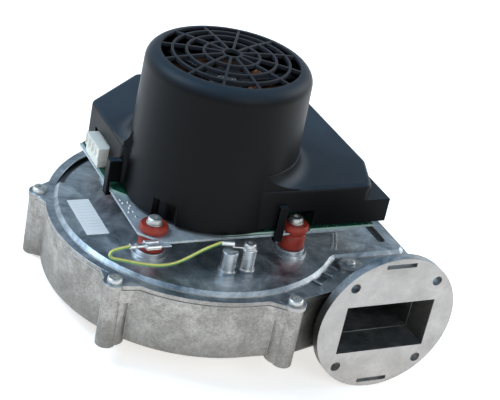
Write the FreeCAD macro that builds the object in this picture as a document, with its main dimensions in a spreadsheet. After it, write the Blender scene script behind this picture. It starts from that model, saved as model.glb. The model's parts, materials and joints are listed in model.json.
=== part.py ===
import FreeCAD, Part
import Sketcher
import math
import os

# Radial blower with a plastic-covered electric motor on top, drawn in millimetres.
# The motor axis is Z. The outlet flange faces -Y at the right-hand side, and the inlet is a bore
# in the middle of the underside. Z = 0 is the flat underside of the cast bowl.

# Driving sizes. Each one is a plain number in the sheet called Sizes.
sizes = {
    # Scroll outline, as three tangent arcs: left edge, front edge and the three radii
    "scroll_left": 99.5,
    "scroll_front": 97.0,
    "front_radius": 101.0,
    "rear_left_radius": 110.0,
    "rear_right_radius": 116.5,
    # Cast bowl
    "bowl_height": 41.0,
    "floor_thick": 2.8,
    "wall_thick": 3.0,
    "band_step": 0.8,
    "band_height": 9.0,
    "bowl_edge_round": 5.0,
    "boss_radius": 6.3,
    "boss_web_radius": 8.5,
    "boss_web_place": 0.95,
    "boss_drop": 1.0,
    "boss_thread_depth": 16.0,
    "tongue_set_back": 0.8,
    "tongue_tip_y": 62.5,
    "tongue_round": 1.3,
    "joint_gap": 0.3,
    # Inlet in the bowl floor
    "inlet_radius": 28.0,
    "inlet_lip": 3.0,
    "inlet_nozzle_top": 12.0,
    "inlet_land_radius": 46.0,
    "inlet_bolt_circle": 76.0,
    "inlet_land_top": 6.5,
    "inlet_thread_depth": 6.0,
    # Cover casting: rim, raised deck and what stands on it
    "gasket_thick": 0.5,
    "rim_thick": 2.7,
    "deck_rise": 2.8,
    "deck_inset": 5.5,
    "deck_side_inset": 2.0,
    "deck_front_y": 60.0,
    "deck_slope": 2.2,
    "deck_corner_cut": 4.0,
    "lug_radius": 7.0,
    "pad_radius": 11.0,
    "pad_height": 2.0,
    "pad_thread_depth": 6.5,
    "hub_radius": 17.0,
    "hub_height": 3.0,
    "seal_bore": 9.0,
    "post_radius": 5.0,
    "post_height": 15.0,
    "short_post_height": 12.0,
    "post_y": 64.0,
    "post_right_x": 4.0,
    "post_left_x": 8.7,
    "post_thread_depth": 11.0,
    "side_slot_inset": 14.0,
    "side_slot_width": 6.0,
    "side_slot_front": 45.0,
    "side_slot_rear": 2.0,
    "side_slot_depth": 3.5,
    "left_slot_radius": 95.3,
    "left_slot_width": 4.4,
    "left_slot_depth": 2.4,
    "duct_pad_offset": 15.0,
    "duct_pad_y": 70.0,
    "duct_pad_radius": 8.0,
    "duct_pad_height": 3.6,
    "duct_plug_head": 3.4,
    "duct_plug_height": 1.6,
    "duct_plug_socket": 1.2,
    "rib_width": 1.1,
    "rib_height": 0.9,
    # Outlet duct and flange
    "flange_margin": 12.231,
    "flange_thick": 6.5,
    "flange_face": 104.1,
    "flange_bolt_ratio": 1.22449,
    "flange_hole": 3.4,
    "mouth_left": 58.8,
    "mouth_ceiling": 2.7,
    "mouth_drop": 2.05,
    "duct_length": 21.0,
    "duct_wall": 3.2,
    "slot_length": 22.0,
    "slot_width": 3.0,
    "slot_edge": 5.2,
    # Screws that hold the two castings together
    "screw_shank": 2.45,
    "thread_radius": 2.5,
    "clearance_hole": 2.8,
    "screw_head": 4.75,
    "screw_head_height": 3.2,
    "socket_radius": 1.9,
    "socket_depth": 1.8,
    "screw_length": 16.0,
    "boss_a_turn": 158.4,
    "boss_a_proud": 4.0,
    "boss_b_turn": 218.5,
    "boss_b_proud": 5.0,
    "boss_c_turn": 281.05,
    "boss_c_proud": 6.0,
    "boss_e_turn": 93.3,
    "boss_e_proud": 2.7,
    "boss_f_turn": 24.2,
    "boss_f_proud": 1.9,
    "shoulder_run": 6.0,
    "shoulder_drop": 2.8,
    # Rubber mounts between deck and motor plate
    "mount_circle": 64.5,
    "mount_angle": 217.5,
    "mount_spread": 93.0,
    "mount_screw_head": 4.5,
    "grommet_radius": 9.2,
    "grommet_neck": 7.2,
    "grommet_top_height": 4.6,
    "grommet_neck_gap": 0.1,
    "sleeve_radius": 3.9,
    "sleeve_bore": 2.8,
    "rubber_fit": 0.1,
    "mount_screw_length": 24.0,
    # Motor plate and circuit board
    "mount_gap": 13.4,
    "plate_thick": 1.5,
    "board_thick": 1.6,
    "plate_left": 62.0,
    "plate_front": 54.0,
    "plate_right": 86.0,
    "plate_rear": 72.0,
    "plate_corner_cut": 13.0,
    "board_right": 98.0,
    "board_rear": 107.0,
    "board_hole": 10.0,
    "board_step": 0.7,
    # Motor
    "shaft_radius": 4.0,
    "shaft_proud": 2.0,
    "shaft_sink": 0.3,
    "bearing_radius": 11.0,
    "bearing_width": 7.0,
    "bearing_fit": 0.03,
    "carrier_depth": 10.4,
    "carrier_radius": 14.0,
    "carrier_flange": 21.0,
    "stand_height": 28.1,
    "core_height": 36.0,
    "core_radius": 46.5,
    "core_bore": 22.8,
    "slot_count": 9,
    "core_back": 7.5,
    "slot_half_width": 4.0,
    "rotor_gap": 0.6,
    "winding_overhang": 16.0,
    "tooth_tip": 2.7,
    "winding_lap": 1.5,
    "winding_fit": 0.3,
    "stand_radius": 2.6,
    "stand_inset": 2.7,
    "bracket_thick": 3.0,
    "bracket_arm": 7.0,
    # Impeller
    "impeller_gap": 21.5,
    "blade_count": 9,
    "blade_thick": 1.6,
    "blade_inner": 37.0,
    "blade_sweep": 50.0,
    "blade_radius": 62.0,
    "disc_gap": 6.0,
    "disc_thick": 1.6,
    "shroud_thick": 1.4,
    "outlet_width": 18.0,
    "eye_clearance": 1.0,
    "eye_lap": 3.5,
    "shroud_bend": 46.0,
    "shroud_rise": 2.2,
    "impeller_hub": 10.0,
    "hub_length": 9.0,
    "nut_across": 11.5,
    "nut_height": 5.0,
    # Plastic motor cover
    "cover_wall": 2.0,
    "motor_space": 8.2,
    "dome_draft": 1.9,
    "dome_round": 8.5,
    "grille_space": 14.1,
    "board_to_cover": 0.3,
    "skirt_gap": 2.0,
    "skirt_height": 28.0,
    "skirt_front": 53.0,
    "skirt_left": 57.0,
    "skirt_right": 101.5,
    "skirt_rear": 112.5,
    "skirt_corner_x": 90.0,
    "skirt_corner_y": 22.0,
    "skirt_left_front": 12.0,
    "skirt_left_rear": 74.0,
    "skirt_corner_left": 12.0,
    "skirt_corner_right": 62.0,
    "skirt_right_rear": 76.0,
    "skirt_round": 3.0,
    "blend_radius": 10.0,
    "ledge_left": 80.0,
    "ledge_right": 106.0,
    "ledge_rear": 12.0,
    "ledge_height": 16.5,
    "grille_land": 0.4,
    "grille_rise": 2.6,
    "grille_depth": 2.4,
    "grille_bar": 1.6,
    "grille_spokes": 12,
    "grille_ring_1": 5.9,
    "grille_ring_2": 17.6,
    "grille_ring_3": 28.2,
    "grille_ring_4": 36.9,
    "window_height": 11.5,
    "dome_window_reach": 14.0,
    "skirt_window_reach": 10.6,
    "clip_width": 5.5,
    "clip_thick": 2.0,
    "clip_height": 16.5,
    "clip_drop": 3.0,
    "clip_front_x": 27.5,
    "clip_left_y": 14.0,
    "clip_gap": 0.4,
    # Signal connector on the board edge
    "plug_length": 25.0,
    "plug_width": 11.8,
    "plug_height": 14.3,
    "plug_overhang": 1.5,
    "plug_front_y": 34.5,
    "plug_windows": 4,
    "plug_window_depth": 1.5,
    "plug_opening_gap": 2.7,
    # Earth connection
    "tab_end_x": 63.0,
    "tab_root_x": 46.0,
    "tab_width": 6.3,
    "tab_thick": 0.8,
    "tab_y": 54.6,
    "receptacle_length": 11.2,
    "receptacle_wall": 0.6,
    "receptacle_fit": 0.15,
    "crimp_radius": 1.9,
    "crimp_length": 8.0,
    "lead_radius": 1.4,
    "eye_radius": 4.2,
    "eye_hole": 2.2,
    "eye_thick": 0.8,
    "eye_turn": 163.7,
    "eye_neck": 10.0,
    "earth_thread": 2.0,
    "earth_shank": 1.95,
    "earth_head": 3.9,
    "earth_head_height": 2.6,
    "earth_screw_length": 9.0,
    # Rating label, left blank
    "label_width": 14.7,
    "label_length": 42.0,
    "label_thick": 0.2,
    "label_x": 76.0,
    "label_y": 6.5,
}

MOUNTS = (1, 2, 3, 4)
BOSSES = ("a", "b", "c", "e", "f")


def derive():
    """Works out the sizes that follow from the driving ones."""
    s = sizes
    derive_scroll(s)
    derive_heights(s)
    derive_outlet(s)
    derive_motor(s)
    derive_places(s)


def derive_scroll(s):
    """The scroll's arc centres, its far sides and the round ridge on the deck."""
    s["front_centre_x"] = s["front_radius"] - s["scroll_left"]
    s["front_centre_y"] = s["front_radius"] - s["scroll_front"]
    s["rear_centre_x"] = s["rear_left_radius"] - s["scroll_left"]
    s["scroll_rear"] = s["front_centre_y"] + s["rear_left_radius"]
    s["scroll_right"] = s["rear_centre_x"] + s["rear_right_radius"]
    s["right_centre_y"] = s["rear_right_radius"] - s["scroll_rear"]
    s["ridge_radius"] = math.hypot(s["front_centre_x"], s["scroll_front"] - s["deck_inset"])
    s["ridge_end_x"] = math.sqrt(s["ridge_radius"] ** 2 - (s["deck_front_y"] + 1.5) ** 2)
    s["side_slot_x"] = s["scroll_right"] - s["side_slot_inset"]
    s["impeller_radius"] = s["scroll_left"] - s["impeller_gap"]


def derive_heights(s):
    """Every height above the bowl, each from the piece that carries it."""
    s["rim_bottom"] = s["bowl_height"] + s["gasket_thick"]
    s["rim_top"] = s["rim_bottom"] + s["rim_thick"]
    s["deck_top"] = s["rim_top"] + s["deck_rise"]
    s["pad_top"] = s["deck_top"] + s["pad_height"]
    s["plate_bottom"] = s["pad_top"] + s["mount_gap"]
    s["plate_top"] = s["plate_bottom"] + s["plate_thick"]
    s["board_top"] = s["plate_top"] + s["board_thick"]
    s["tab_middle"] = s["plate_bottom"] + s["plate_thick"] / 2
    s["tab_space"] = s["tab_thick"] / 2 + s["receptacle_fit"]
    s["carrier_bottom"] = s["plate_bottom"] - s["carrier_depth"]
    s["core_bottom"] = s["plate_top"] + s["stand_height"]
    s["core_top"] = s["core_bottom"] + s["core_height"]
    s["bracket_bottom"] = s["core_top"] + s["winding_overhang"] + s["winding_fit"]
    s["bracket_top"] = s["bracket_bottom"] + s["bracket_thick"]
    s["shaft_top"] = s["bracket_top"] - s["shaft_sink"]
    s["disc_bottom"] = s["bowl_height"] - s["disc_gap"]
    s["shaft_bottom"] = s["disc_bottom"] - s["hub_length"] - s["nut_height"] - s["shaft_proud"]
    s["shroud_bend_z"] = s["inlet_nozzle_top"] + s["shroud_rise"]
    s["dome_bottom"] = s["board_top"] + s["board_to_cover"]
    s["dome_top"] = s["bracket_top"] + s["grille_space"]
    s["skirt_bottom"] = s["board_top"] + s["skirt_gap"]
    s["skirt_top"] = s["skirt_bottom"] + s["skirt_height"]
    s["ledge_top"] = s["skirt_bottom"] + s["ledge_height"]
    s["window_top"] = s["skirt_bottom"] + s["window_height"]
    s["clip_top"] = s["skirt_bottom"] + s["clip_height"]
    s["clip_bottom"] = s["plate_bottom"] - s["clip_drop"]
    s["clip_bend"] = s["plate_top"] + 5.0
    s["plug_opening_top"] = s["board_top"] + s["plug_height"] + s["plug_opening_gap"]
    s["sleeve_length"] = (s["plate_top"] - s["pad_top"] + s["grommet_top_height"]
                          + 2 * s["grommet_neck_gap"])


def derive_outlet(s):
    """The mouth in the flange, the flange round it and the tongue beside it."""
    s["flange_back"] = s["flange_face"] - s["flange_thick"]
    s["duct_end"] = s["flange_face"] - s["duct_length"]
    s["mouth_right"] = s["scroll_right"] - s["band_step"] - s["wall_thick"]
    s["mouth_bottom"] = s["floor_thick"]
    s["mouth_height"] = s["bowl_height"] - s["floor_thick"] - s["mouth_ceiling"]
    s["mouth_top"] = s["mouth_bottom"] + s["mouth_height"]
    s["flange_x"] = (s["mouth_left"] + s["mouth_right"]) / 2
    s["flange_z"] = s["mouth_bottom"] + s["mouth_height"] / 2 + s["mouth_drop"]
    half_width = (s["mouth_right"] - s["mouth_left"]) / 2
    s["flange_radius"] = math.hypot(half_width, s["mouth_height"] / 2) + s["flange_margin"]
    s["flange_bolt_pitch"] = s["flange_radius"] * s["flange_bolt_ratio"]
    s["slot_offset"] = s["flange_radius"] - s["slot_edge"]
    s["duct_pad_x"] = s["flange_x"] - s["duct_pad_offset"]
    s["tongue_tip_x"] = s["mouth_left"] + s["tongue_set_back"]
    across = s["tongue_tip_x"] - s["tongue_round"] - s["front_centre_x"]
    along = s["scroll_front"] - s["band_step"] - s["wall_thick"] - s["tongue_tip_y"]
    s["tongue_arc"] = (across ** 2 + along ** 2) / (2 * along)


def derive_motor(s):
    """Radii of the motor and of the dome and grille over it."""
    s["slot_root"] = s["core_radius"] - s["core_back"]
    s["winding_inner"] = s["core_bore"] + s["tooth_tip"]
    s["winding_outer"] = s["slot_root"] + s["winding_lap"]
    s["stand_circle"] = s["core_radius"] - s["stand_inset"]
    s["dome_base_radius"] = s["core_radius"] + s["motor_space"]
    s["dome_top_radius"] = s["dome_base_radius"] - s["dome_draft"]
    s["grille_radius"] = s["dome_top_radius"] - s["dome_round"] - s["grille_land"]
    s["eye_inner"] = s["inlet_radius"] + s["inlet_lip"] + s["eye_clearance"]
    drop = s["grille_rise"] + 0.3
    s["grille_sphere"] = ((s["grille_radius"] + 0.7) ** 2 + drop ** 2) / (2 * drop)
    for index in (1, 2, 3, 4):
        sag = s[f"grille_ring_{index}"] ** 2 / (2 * s["grille_sphere"])
        s[f"grille_z_{index}"] = s["dome_top"] + s["grille_rise"] - sag
    sweep = math.radians(s["blade_sweep"])
    s["blade_end_x"] = (s["impeller_radius"] - 0.4) * math.cos(sweep)
    s["blade_end_y"] = (s["impeller_radius"] - 0.4) * math.sin(sweep)


def derive_places(s):
    """Screw bosses on the scroll's arcs, rubber mounts, and the end of the earth lead."""
    front = (s["front_centre_x"], s["front_centre_y"], s["front_radius"])
    rear = (s["rear_centre_x"], s["front_centre_y"], s["rear_left_radius"])
    right = (s["rear_centre_x"], -s["right_centre_y"], s["rear_right_radius"])
    arcs = {"a": rear, "b": front, "c": front, "e": rear, "f": right}
    for letter, (x, y, radius) in arcs.items():
        turn = math.radians(s[f"boss_{letter}_turn"])
        reach = radius + s[f"boss_{letter}_proud"]
        s[f"boss_{letter}_x"] = x + reach * math.cos(turn)
        s[f"boss_{letter}_y"] = y + reach * math.sin(turn)
    s["shoulder_x"] = s["boss_c_x"] + s["shoulder_run"]
    s["shoulder_y"] = -s["boss_c_y"] - s["shoulder_drop"]
    for index in MOUNTS:
        spread = s["mount_spread"] if index % 2 == 0 else 0.0
        angle = math.radians(s["mount_angle"] + spread + 180 * ((index - 1) // 2))
        s[f"mount_{index}_x"] = s["mount_circle"] * math.cos(angle)
        s[f"mount_{index}_y"] = s["mount_circle"] * math.sin(angle)
    turn = math.radians(s["eye_turn"])
    reach = s["eye_neck"] + s["crimp_length"]
    s["lead_end_x"] = s["post_right_x"] + reach * math.cos(turn)
    s["lead_end_y"] = s["post_y"] - reach * math.sin(turn)


def number(text):
    """The value of a sum of products of aliases and numbers, with its words set apart by spaces."""
    total, sign, term, divide = 0.0, 1.0, None, False
    for word in text.split():
        if word in "+-":
            total += sign * (term or 0.0)
            sign = 1.0 if word == "+" else -1.0
            term = None
        elif word in "*/":
            divide = word == "/"
        else:
            value = sizes[word] if word in sizes else float(word)
            if term is None:
                term = value
            else:
                term = term / value if divide else term * value
    return total + sign * (term or 0.0)


def formula(text):
    """The same text as an expression on the sheet."""
    return " ".join("Sizes." + word if word in sizes else word for word in text.split())


def bind(thing, prop, text):
    thing.setExpression(prop, formula(text))


derive()
doc = FreeCAD.newDocument("Blower")
sheet = doc.addObject("Spreadsheet::Sheet", "Sizes")
for row, (alias, amount) in enumerate(sizes.items(), 1):
    sheet.set(f"A{row}", alias)
    sheet.set(f"B{row}", str(amount))
    sheet.setAlias(f"B{row}", alias)
doc.recompute()

nodes = []


def new_body(name):
    body = doc.addObject("PartDesign::Body", name)
    body.Label = name
    nodes.append(body)
    return body


def origin_part(body, role):
    return [part for part in body.Origin.OriginFeatures if part.Role == role][0]


def pin_point(drawing, piece, end, x, y):
    """Ties one end of a sketch line to its two coordinates."""
    for axis, text, line in (("X", x, -2), ("Y", y, -1)):
        if text == "0":
            drawing.addConstraint(Sketcher.Constraint("PointOnObject", piece, end, line))
        else:
            place = number(text)
            index = drawing.addConstraint(Sketcher.Constraint("Distance" + axis, piece, end, place))
            bind(drawing, f"Constraints[{index}]", text)


def arc_between(start, end, radius, turn):
    """The shorter arc from start to end, turning left for +1 and right for -1."""
    middle = (start + end) * 0.5
    half = (end - start) * 0.5
    rise = math.sqrt(max(radius ** 2 - half.Length ** 2, 0.0))
    across = FreeCAD.Vector(-half.y, half.x, 0).normalize()
    centre = middle + across * (rise * turn)
    circle = Part.Circle(centre, FreeCAD.Vector(0, 0, 1), radius)
    first, last = (start, end) if turn > 0 else (end, start)
    return Part.ArcOfCircle(circle, circle.parameter(first), circle.parameter(last))


def add_path(drawing, corners):
    """A closed outline. A corner is (x, y) or (x, y, radius, turn) where an arc leaves it."""
    places = [FreeCAD.Vector(number(c[0]), number(c[1]), 0) for c in corners]
    pieces = []
    for index, corner in enumerate(corners):
        start, end = places[index], places[(index + 1) % len(corners)]
        if len(corner) == 4:
            turn = corner[3]
            piece = drawing.addGeometry(arc_between(start, end, number(corner[2]), turn))
            pieces.append((piece, 1, 2) if turn > 0 else (piece, 2, 1))
        else:
            piece = drawing.addGeometry(Part.LineSegment(start, end))
            pieces.append((piece, 1, 2))
    for index, (piece, head, tail) in enumerate(pieces):
        following, next_head, _ = pieces[(index + 1) % len(pieces)]
        drawing.addConstraint(Sketcher.Constraint("Coincident", piece, tail, following, next_head))
        pin_point(drawing, piece, head, corners[index][0], corners[index][1])
        if len(corners[index]) == 4:
            radius = number(corners[index][2])
            index_r = drawing.addConstraint(Sketcher.Constraint("Radius", piece, radius))
            bind(drawing, f"Constraints[{index_r}]", corners[index][2])


def add_circle(drawing, x, y, radius):
    centre = FreeCAD.Vector(number(x), number(y), 0)
    circle = Part.Circle(centre, FreeCAD.Vector(0, 0, 1), number(radius))
    piece = drawing.addGeometry(circle)
    pin_point(drawing, piece, 3, x, y)
    index = drawing.addConstraint(Sketcher.Constraint("Radius", piece, number(radius)))
    bind(drawing, f"Constraints[{index}]", radius)


def draw(body, name, outlines, lift="0", role="XY_Plane"):
    """A sketch on one of the body's own planes. An outline is a list of corners, or one circle."""
    drawing = body.newObject("Sketcher::SketchObject", name + "_sketch")
    drawing.AttachmentSupport = [(origin_part(body, role), "")]
    drawing.MapMode = "FlatFace"
    if lift != "0":
        bind(drawing, "AttachmentOffset.Base.z", lift)
    for outline in outlines:
        if isinstance(outline, tuple):
            add_circle(drawing, *outline)
        else:
            add_path(drawing, outline)
    return drawing


def pad(body, name, outlines, start, height, role="XY_Plane", back=False):
    """Adds a prism that begins at start and is height long."""
    feature = body.newObject("PartDesign::Pad", name)
    feature.Profile = draw(body, name, outlines, start, role)
    feature.Reversed = back
    bind(feature, "Length", height)
    return feature


def pocket(body, name, outlines, start, depth, role="XY_Plane", upward=False):
    """Cuts a prism from start, against the plane's normal, or along it when upward is set."""
    feature = body.newObject("PartDesign::Pocket", name)
    feature.Profile = draw(body, name, outlines, start, role)
    feature.Reversed = upward
    bind(feature, "Length", depth)
    return feature


def turned(body, name, outlines, kind="PartDesign::Revolution"):
    """Turns outlines of (radius, height) about Z, to add them or, as a groove, to cut them."""
    drawing = draw(body, name, outlines, role="XZ_Plane")
    feature = body.newObject(kind, name)
    feature.Profile = drawing
    feature.ReferenceAxis = (drawing, ["V_Axis"])
    feature.Angle = 360.0
    return feature


def polar(body, name, feature, count):
    """Repeats a feature about Z."""
    pattern = body.newObject("PartDesign::PolarPattern", name)
    pattern.Originals = [feature]
    pattern.Axis = (origin_part(body, "Z_Axis"), [""])
    pattern.Angle = 360.0
    bind(pattern, "Occurrences", count)
    body.Tip = pattern
    return pattern


def soften(body, name, feature, chosen, size, kind="PartDesign::Fillet"):
    """Rounds or chamfers the edges of a feature that chosen accepts."""
    doc.recompute()
    names = [f"Edge{i}" for i, edge in enumerate(feature.Shape.Edges, 1) if chosen(edge)]
    if not names:
        raise RuntimeError(name + " finds no edge")
    finish = body.newObject(kind, name)
    finish.Base = (feature, names)
    bind(finish, "Radius" if kind.endswith("Fillet") else "Size", size)
    return finish


def level(edge, height):
    """True where an edge lies flat at this height."""
    box = edge.BoundBox
    return abs(box.ZMin - height) < 0.01 and abs(box.ZMax - height) < 0.01


def upright(edge):
    box = edge.BoundBox
    return box.XLength < 0.01 and box.YLength < 0.01 and box.ZLength > 1.0


def box_outline(left, front, right, rear):
    return [(left, front), (right, front), (right, rear), (left, rear)]


def boss_places():
    """The five screw places, as coordinate texts."""
    return [(f"boss_{letter}_x", f"boss_{letter}_y") for letter in BOSSES]


def scroll(inset, front_right, end_y):
    """The scroll outline, moved inwards by inset, down to the corners on the outlet side."""
    corners = [
        (f"scroll_right - {inset}", f"- {end_y}"),
        (f"scroll_right - {inset}", "- right_centre_y", f"rear_right_radius - {inset}", 1),
        ("rear_centre_x", f"scroll_rear - {inset}", f"rear_left_radius - {inset}", 1),
        (f"- scroll_left + {inset}", "front_centre_y", f"front_radius - {inset}", 1),
        ("front_centre_x", f"- scroll_front + {inset}"),
    ]
    return corners + front_right


def boss_webs():
    """The same places drawn in towards the axis, where each boss blends into the wall."""
    return [(f"{x} * boss_web_place", f"{y} * boss_web_place", "boss_web_radius")
            for x, y in boss_places()]


def ring_of_four(circle, radius):
    """Four circles on the diagonals of a bolt circle."""
    offset = f"{circle} * 0.35355339"
    return [(f"{a}{offset}", f"{b}{offset}", radius) for a in ("", "- ") for b in ("", "- ")]


def mount_circles(radius):
    return [(f"mount_{index}_x", f"mount_{index}_y", radius) for index in MOUNTS]


def slot_outline(x, front, rear, half):
    """A slot along Y with round ends."""
    return [
        (f"{x} - {half}", front, half, 1),
        (x, f"{front} - {half}", half, 1),
        (f"{x} + {half}", front),
        (f"{x} + {half}", rear, half, 1),
        (x, f"{rear} + {half}", half, 1),
        (f"{x} - {half}", rear),
    ]


# Outlet opening of the scroll and the tongue that parts the duct from the impeller space
cavity = [
    ("mouth_right", "- duct_end - 1"),
    ("mouth_right", "- right_centre_y", "rear_right_radius - band_step - wall_thick", 1),
    ("rear_centre_x", "scroll_rear - band_step - wall_thick",
     "rear_left_radius - band_step - wall_thick", 1),
    ("- scroll_left + band_step + wall_thick", "front_centre_y",
     "front_radius - band_step - wall_thick", 1),
    ("front_centre_x", "- scroll_front + band_step + wall_thick", "tongue_arc", 1),
    ("tongue_tip_x - tongue_round", "- tongue_tip_y", "tongue_round * 1.01", -1),
    ("tongue_tip_x + tongue_round", "- tongue_tip_y"),
    ("mouth_left", "- duct_end - 1"),
]

# Cast bowl: a scroll-shaped pan with a floor, screw bosses, an inlet nozzle and the tongue
bowl = new_body("lower_housing")
bowl_end = [
    ("shoulder_x", "- shoulder_y"),
    ("mouth_left - duct_wall - 1.5", "- scroll_front + 5"),
    ("mouth_left - duct_wall - 1.5", "- duct_end + joint_gap"),
]
pan = pad(bowl, "pan", [scroll("band_step", bowl_end, "duct_end + joint_gap")],
          "0", "bowl_height")
duct_edge = 50.0
soften(bowl, "pan_edge", pan,
       lambda e: level(e, 0) and not (e.BoundBox.XMin > duct_edge
                                      and e.BoundBox.YMax < -number("duct_end") + 1),
       "bowl_edge_round")
pad(bowl, "band", [scroll("0", bowl_end, "duct_end + joint_gap")],
    "bowl_height - band_height", "band_height")
pad(bowl, "boss_webs", boss_webs(), "0", "bowl_height")
pad(bowl, "bosses", [(x, y, "boss_radius") for x, y in boss_places()],
    "- boss_drop", "bowl_height + boss_drop")
pocket(bowl, "cavity", [cavity], "bowl_height", "bowl_height - floor_thick")
pad(bowl, "inlet_land", [("0", "0", "inlet_land_radius")],
    "- boss_drop", "boss_drop + inlet_land_top")
turned(bowl, "nozzle", [[
    ("inlet_radius - 1", "0"),
    ("inlet_radius + inlet_lip", "0"),
    ("inlet_radius + inlet_lip", "inlet_nozzle_top - inlet_lip / 2", "inlet_lip / 2", 1),
    ("inlet_radius + inlet_lip / 2", "inlet_nozzle_top", "inlet_lip / 2", 1),
    ("inlet_radius", "inlet_nozzle_top - inlet_lip / 2"),
    ("inlet_radius - 1", "inlet_nozzle_top - inlet_lip"),
]])
pocket(bowl, "inlet_bore", [("0", "0", "inlet_radius")],
       "inlet_nozzle_top + 1", "inlet_nozzle_top + 2 + boss_drop")
pocket(bowl, "boss_threads", [(x, y, "thread_radius") for x, y in boss_places()],
       "bowl_height", "boss_thread_depth")
pocket(bowl, "inlet_threads", ring_of_four("inlet_bolt_circle", "thread_radius"),
       "- boss_drop", "inlet_thread_depth", upward=True)

# Cover casting: rim, raised deck, grommet pads, posts, outlet duct and round flange in one piece
lid = new_body("upper_housing")
lid_end = [
    ("shoulder_x", "- shoulder_y"),
    ("mouth_left - duct_wall", "- scroll_front + 4.7"),
    ("mouth_left - duct_wall", "- flange_back"),
]
pad(lid, "rim", [scroll("0", lid_end, "flange_back")], "rim_bottom", "rim_thick")
pad(lid, "lug_webs", boss_webs(), "rim_bottom", "rim_thick")
pad(lid, "lugs", [(x, y, "lug_radius") for x, y in boss_places()], "rim_bottom", "rim_thick")
deck = pad(lid, "deck", [[
    ("scroll_right - deck_side_inset", "- deck_front_y + deck_corner_cut"),
    ("scroll_right - deck_side_inset",
     "scroll_rear - deck_inset - scroll_right + deck_side_inset + rear_centre_x",
     "scroll_right - deck_side_inset - rear_centre_x", 1),
    ("rear_centre_x", "scroll_rear - deck_inset", "rear_left_radius - deck_inset", 1),
    ("- scroll_left + deck_inset", "front_centre_y", "front_radius - deck_inset", 1),
    ("front_centre_x", "- scroll_front + deck_inset", "ridge_radius", 1),
    ("ridge_end_x", "- deck_front_y - 1.5"),
    ("ridge_end_x + 3", "- deck_front_y"),
    ("scroll_right - deck_side_inset - deck_corner_cut", "- deck_front_y"),
]], "rim_top", "deck_rise")
deck_top = number("deck_top")
soften(lid, "deck_slope", deck, lambda e: level(e, deck_top), "deck_slope",
       "PartDesign::Chamfer")
pad(lid, "duct", [
    box_outline("mouth_left - duct_wall", "mouth_bottom - duct_wall",
                "mouth_right + duct_wall", "rim_bottom + 0.5"),
    box_outline("mouth_left", "mouth_bottom", "mouth_right", "mouth_top"),
], "duct_end", "flange_back - duct_end", "XZ_Plane")
pad(lid, "flange", [
    ("flange_x", "flange_z", "flange_radius"),
    box_outline("mouth_left", "mouth_bottom", "mouth_right", "mouth_top"),
], "flange_back", "flange_thick", "XZ_Plane")
half_pitch = "flange_bolt_pitch / 2"
pocket(lid, "flange_holes",
       [(f"flange_x {a} {half_pitch}", f"flange_z {b} {half_pitch}", "flange_hole")
        for a in "+-" for b in "+-"],
       "flange_face + 1", "flange_thick + 2", "XZ_Plane")
for where, side in (("upper", "+"), ("lower", "-")):
    pocket(lid, f"{where}_flange_slot", [box_outline(
        "flange_x - slot_length / 2", f"flange_z {side} slot_offset - slot_width / 2",
        "flange_x + slot_length / 2", f"flange_z {side} slot_offset + slot_width / 2",
    )], "flange_face + 1", "flange_thick + 2", "XZ_Plane")
pad(lid, "grommet_pads", mount_circles("pad_radius"), "deck_top - 0.5", "pad_height + 0.5")
pad(lid, "hub", [("0", "0", "hub_radius")], "deck_top - 0.5", "hub_height + 0.5")
pad(lid, "earth_post", [("post_right_x", "- post_y", "post_radius")],
    "deck_top - 0.5", "post_height + 0.5")
pad(lid, "short_post", [("- post_left_x", "- post_y", "post_radius")],
    "deck_top - 0.5", "short_post_height + 0.5")
pad(lid, "duct_pad", [("duct_pad_x", "- duct_pad_y", "duct_pad_radius")],
    "rim_top - 0.5", "duct_pad_height + 0.5")
pocket(lid, "seal_bore", [("0", "0", "seal_bore")],
       "deck_top + hub_height + 1", "hub_height + deck_rise + rim_thick + 2")
pocket(lid, "screw_holes", [(x, y, "clearance_hole") for x, y in boss_places()],
       "rim_top + 1", "rim_thick + 2")
pocket(lid, "pad_threads", mount_circles("thread_radius"), "pad_top", "pad_thread_depth")
pocket(lid, "post_thread", [("post_right_x", "- post_y", "earth_thread")],
       "deck_top + post_height", "post_thread_depth")
pocket(lid, "duct_pad_thread", [("duct_pad_x", "- duct_pad_y", "thread_radius")],
       "rim_top + duct_pad_height", "duct_pad_height + 1")
pocket(lid, "side_slot", [slot_outline(
    "side_slot_x", "- side_slot_front", "- side_slot_rear", "side_slot_width / 2",
)], "deck_top", "side_slot_depth")


def swept_ring(body, name, outline, first, angle, kind="PartDesign::Revolution"):
    """Part of a ring about Z, from the angle first, over the given angle."""
    drawing = draw(body, name, [outline], role="XZ_Plane")
    turn = FreeCAD.Rotation(FreeCAD.Vector(0, 1, 0), first)
    drawing.AttachmentOffset = FreeCAD.Placement(FreeCAD.Vector(0, 0, 0), turn)
    feature = body.newObject(kind, name)
    feature.Profile = drawing
    feature.ReferenceAxis = (drawing, ["V_Axis"])
    feature.Angle = angle
    return feature


swept_ring(lid, "left_slot", box_outline(
    "left_slot_radius - left_slot_width / 2", "deck_top - left_slot_depth",
    "left_slot_radius + left_slot_width / 2", "deck_top + 1",
), 121.0, 26.0, "PartDesign::Groove")
for index, offset in ((1, "- 2.4"), (2, "- 0.2")):
    swept_ring(lid, f"deck_rib_{index}", box_outline(
        f"ridge_radius {offset} - rib_width", "deck_top - 0.5",
        f"ridge_radius {offset}", "deck_top + rib_height",
    ), 325.0, 30.0)

# Gasket between the castings
gasket = new_body("housing_gasket")
pad(gasket, "sheet", [scroll("0.3", bowl_end, "duct_end + joint_gap")],
    "bowl_height", "gasket_thick")
pad(gasket, "ears", boss_webs(), "bowl_height", "gasket_thick")
pad(gasket, "lobes", [(x, y, "boss_radius") for x, y in boss_places()],
    "bowl_height", "gasket_thick")
pocket(gasket, "opening", [cavity], "rim_bottom + 1", "gasket_thick + 2")
pocket(gasket, "holes", [(x, y, "clearance_hole") for x, y in boss_places()],
       "rim_bottom + 1", "gasket_thick + 2")


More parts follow.
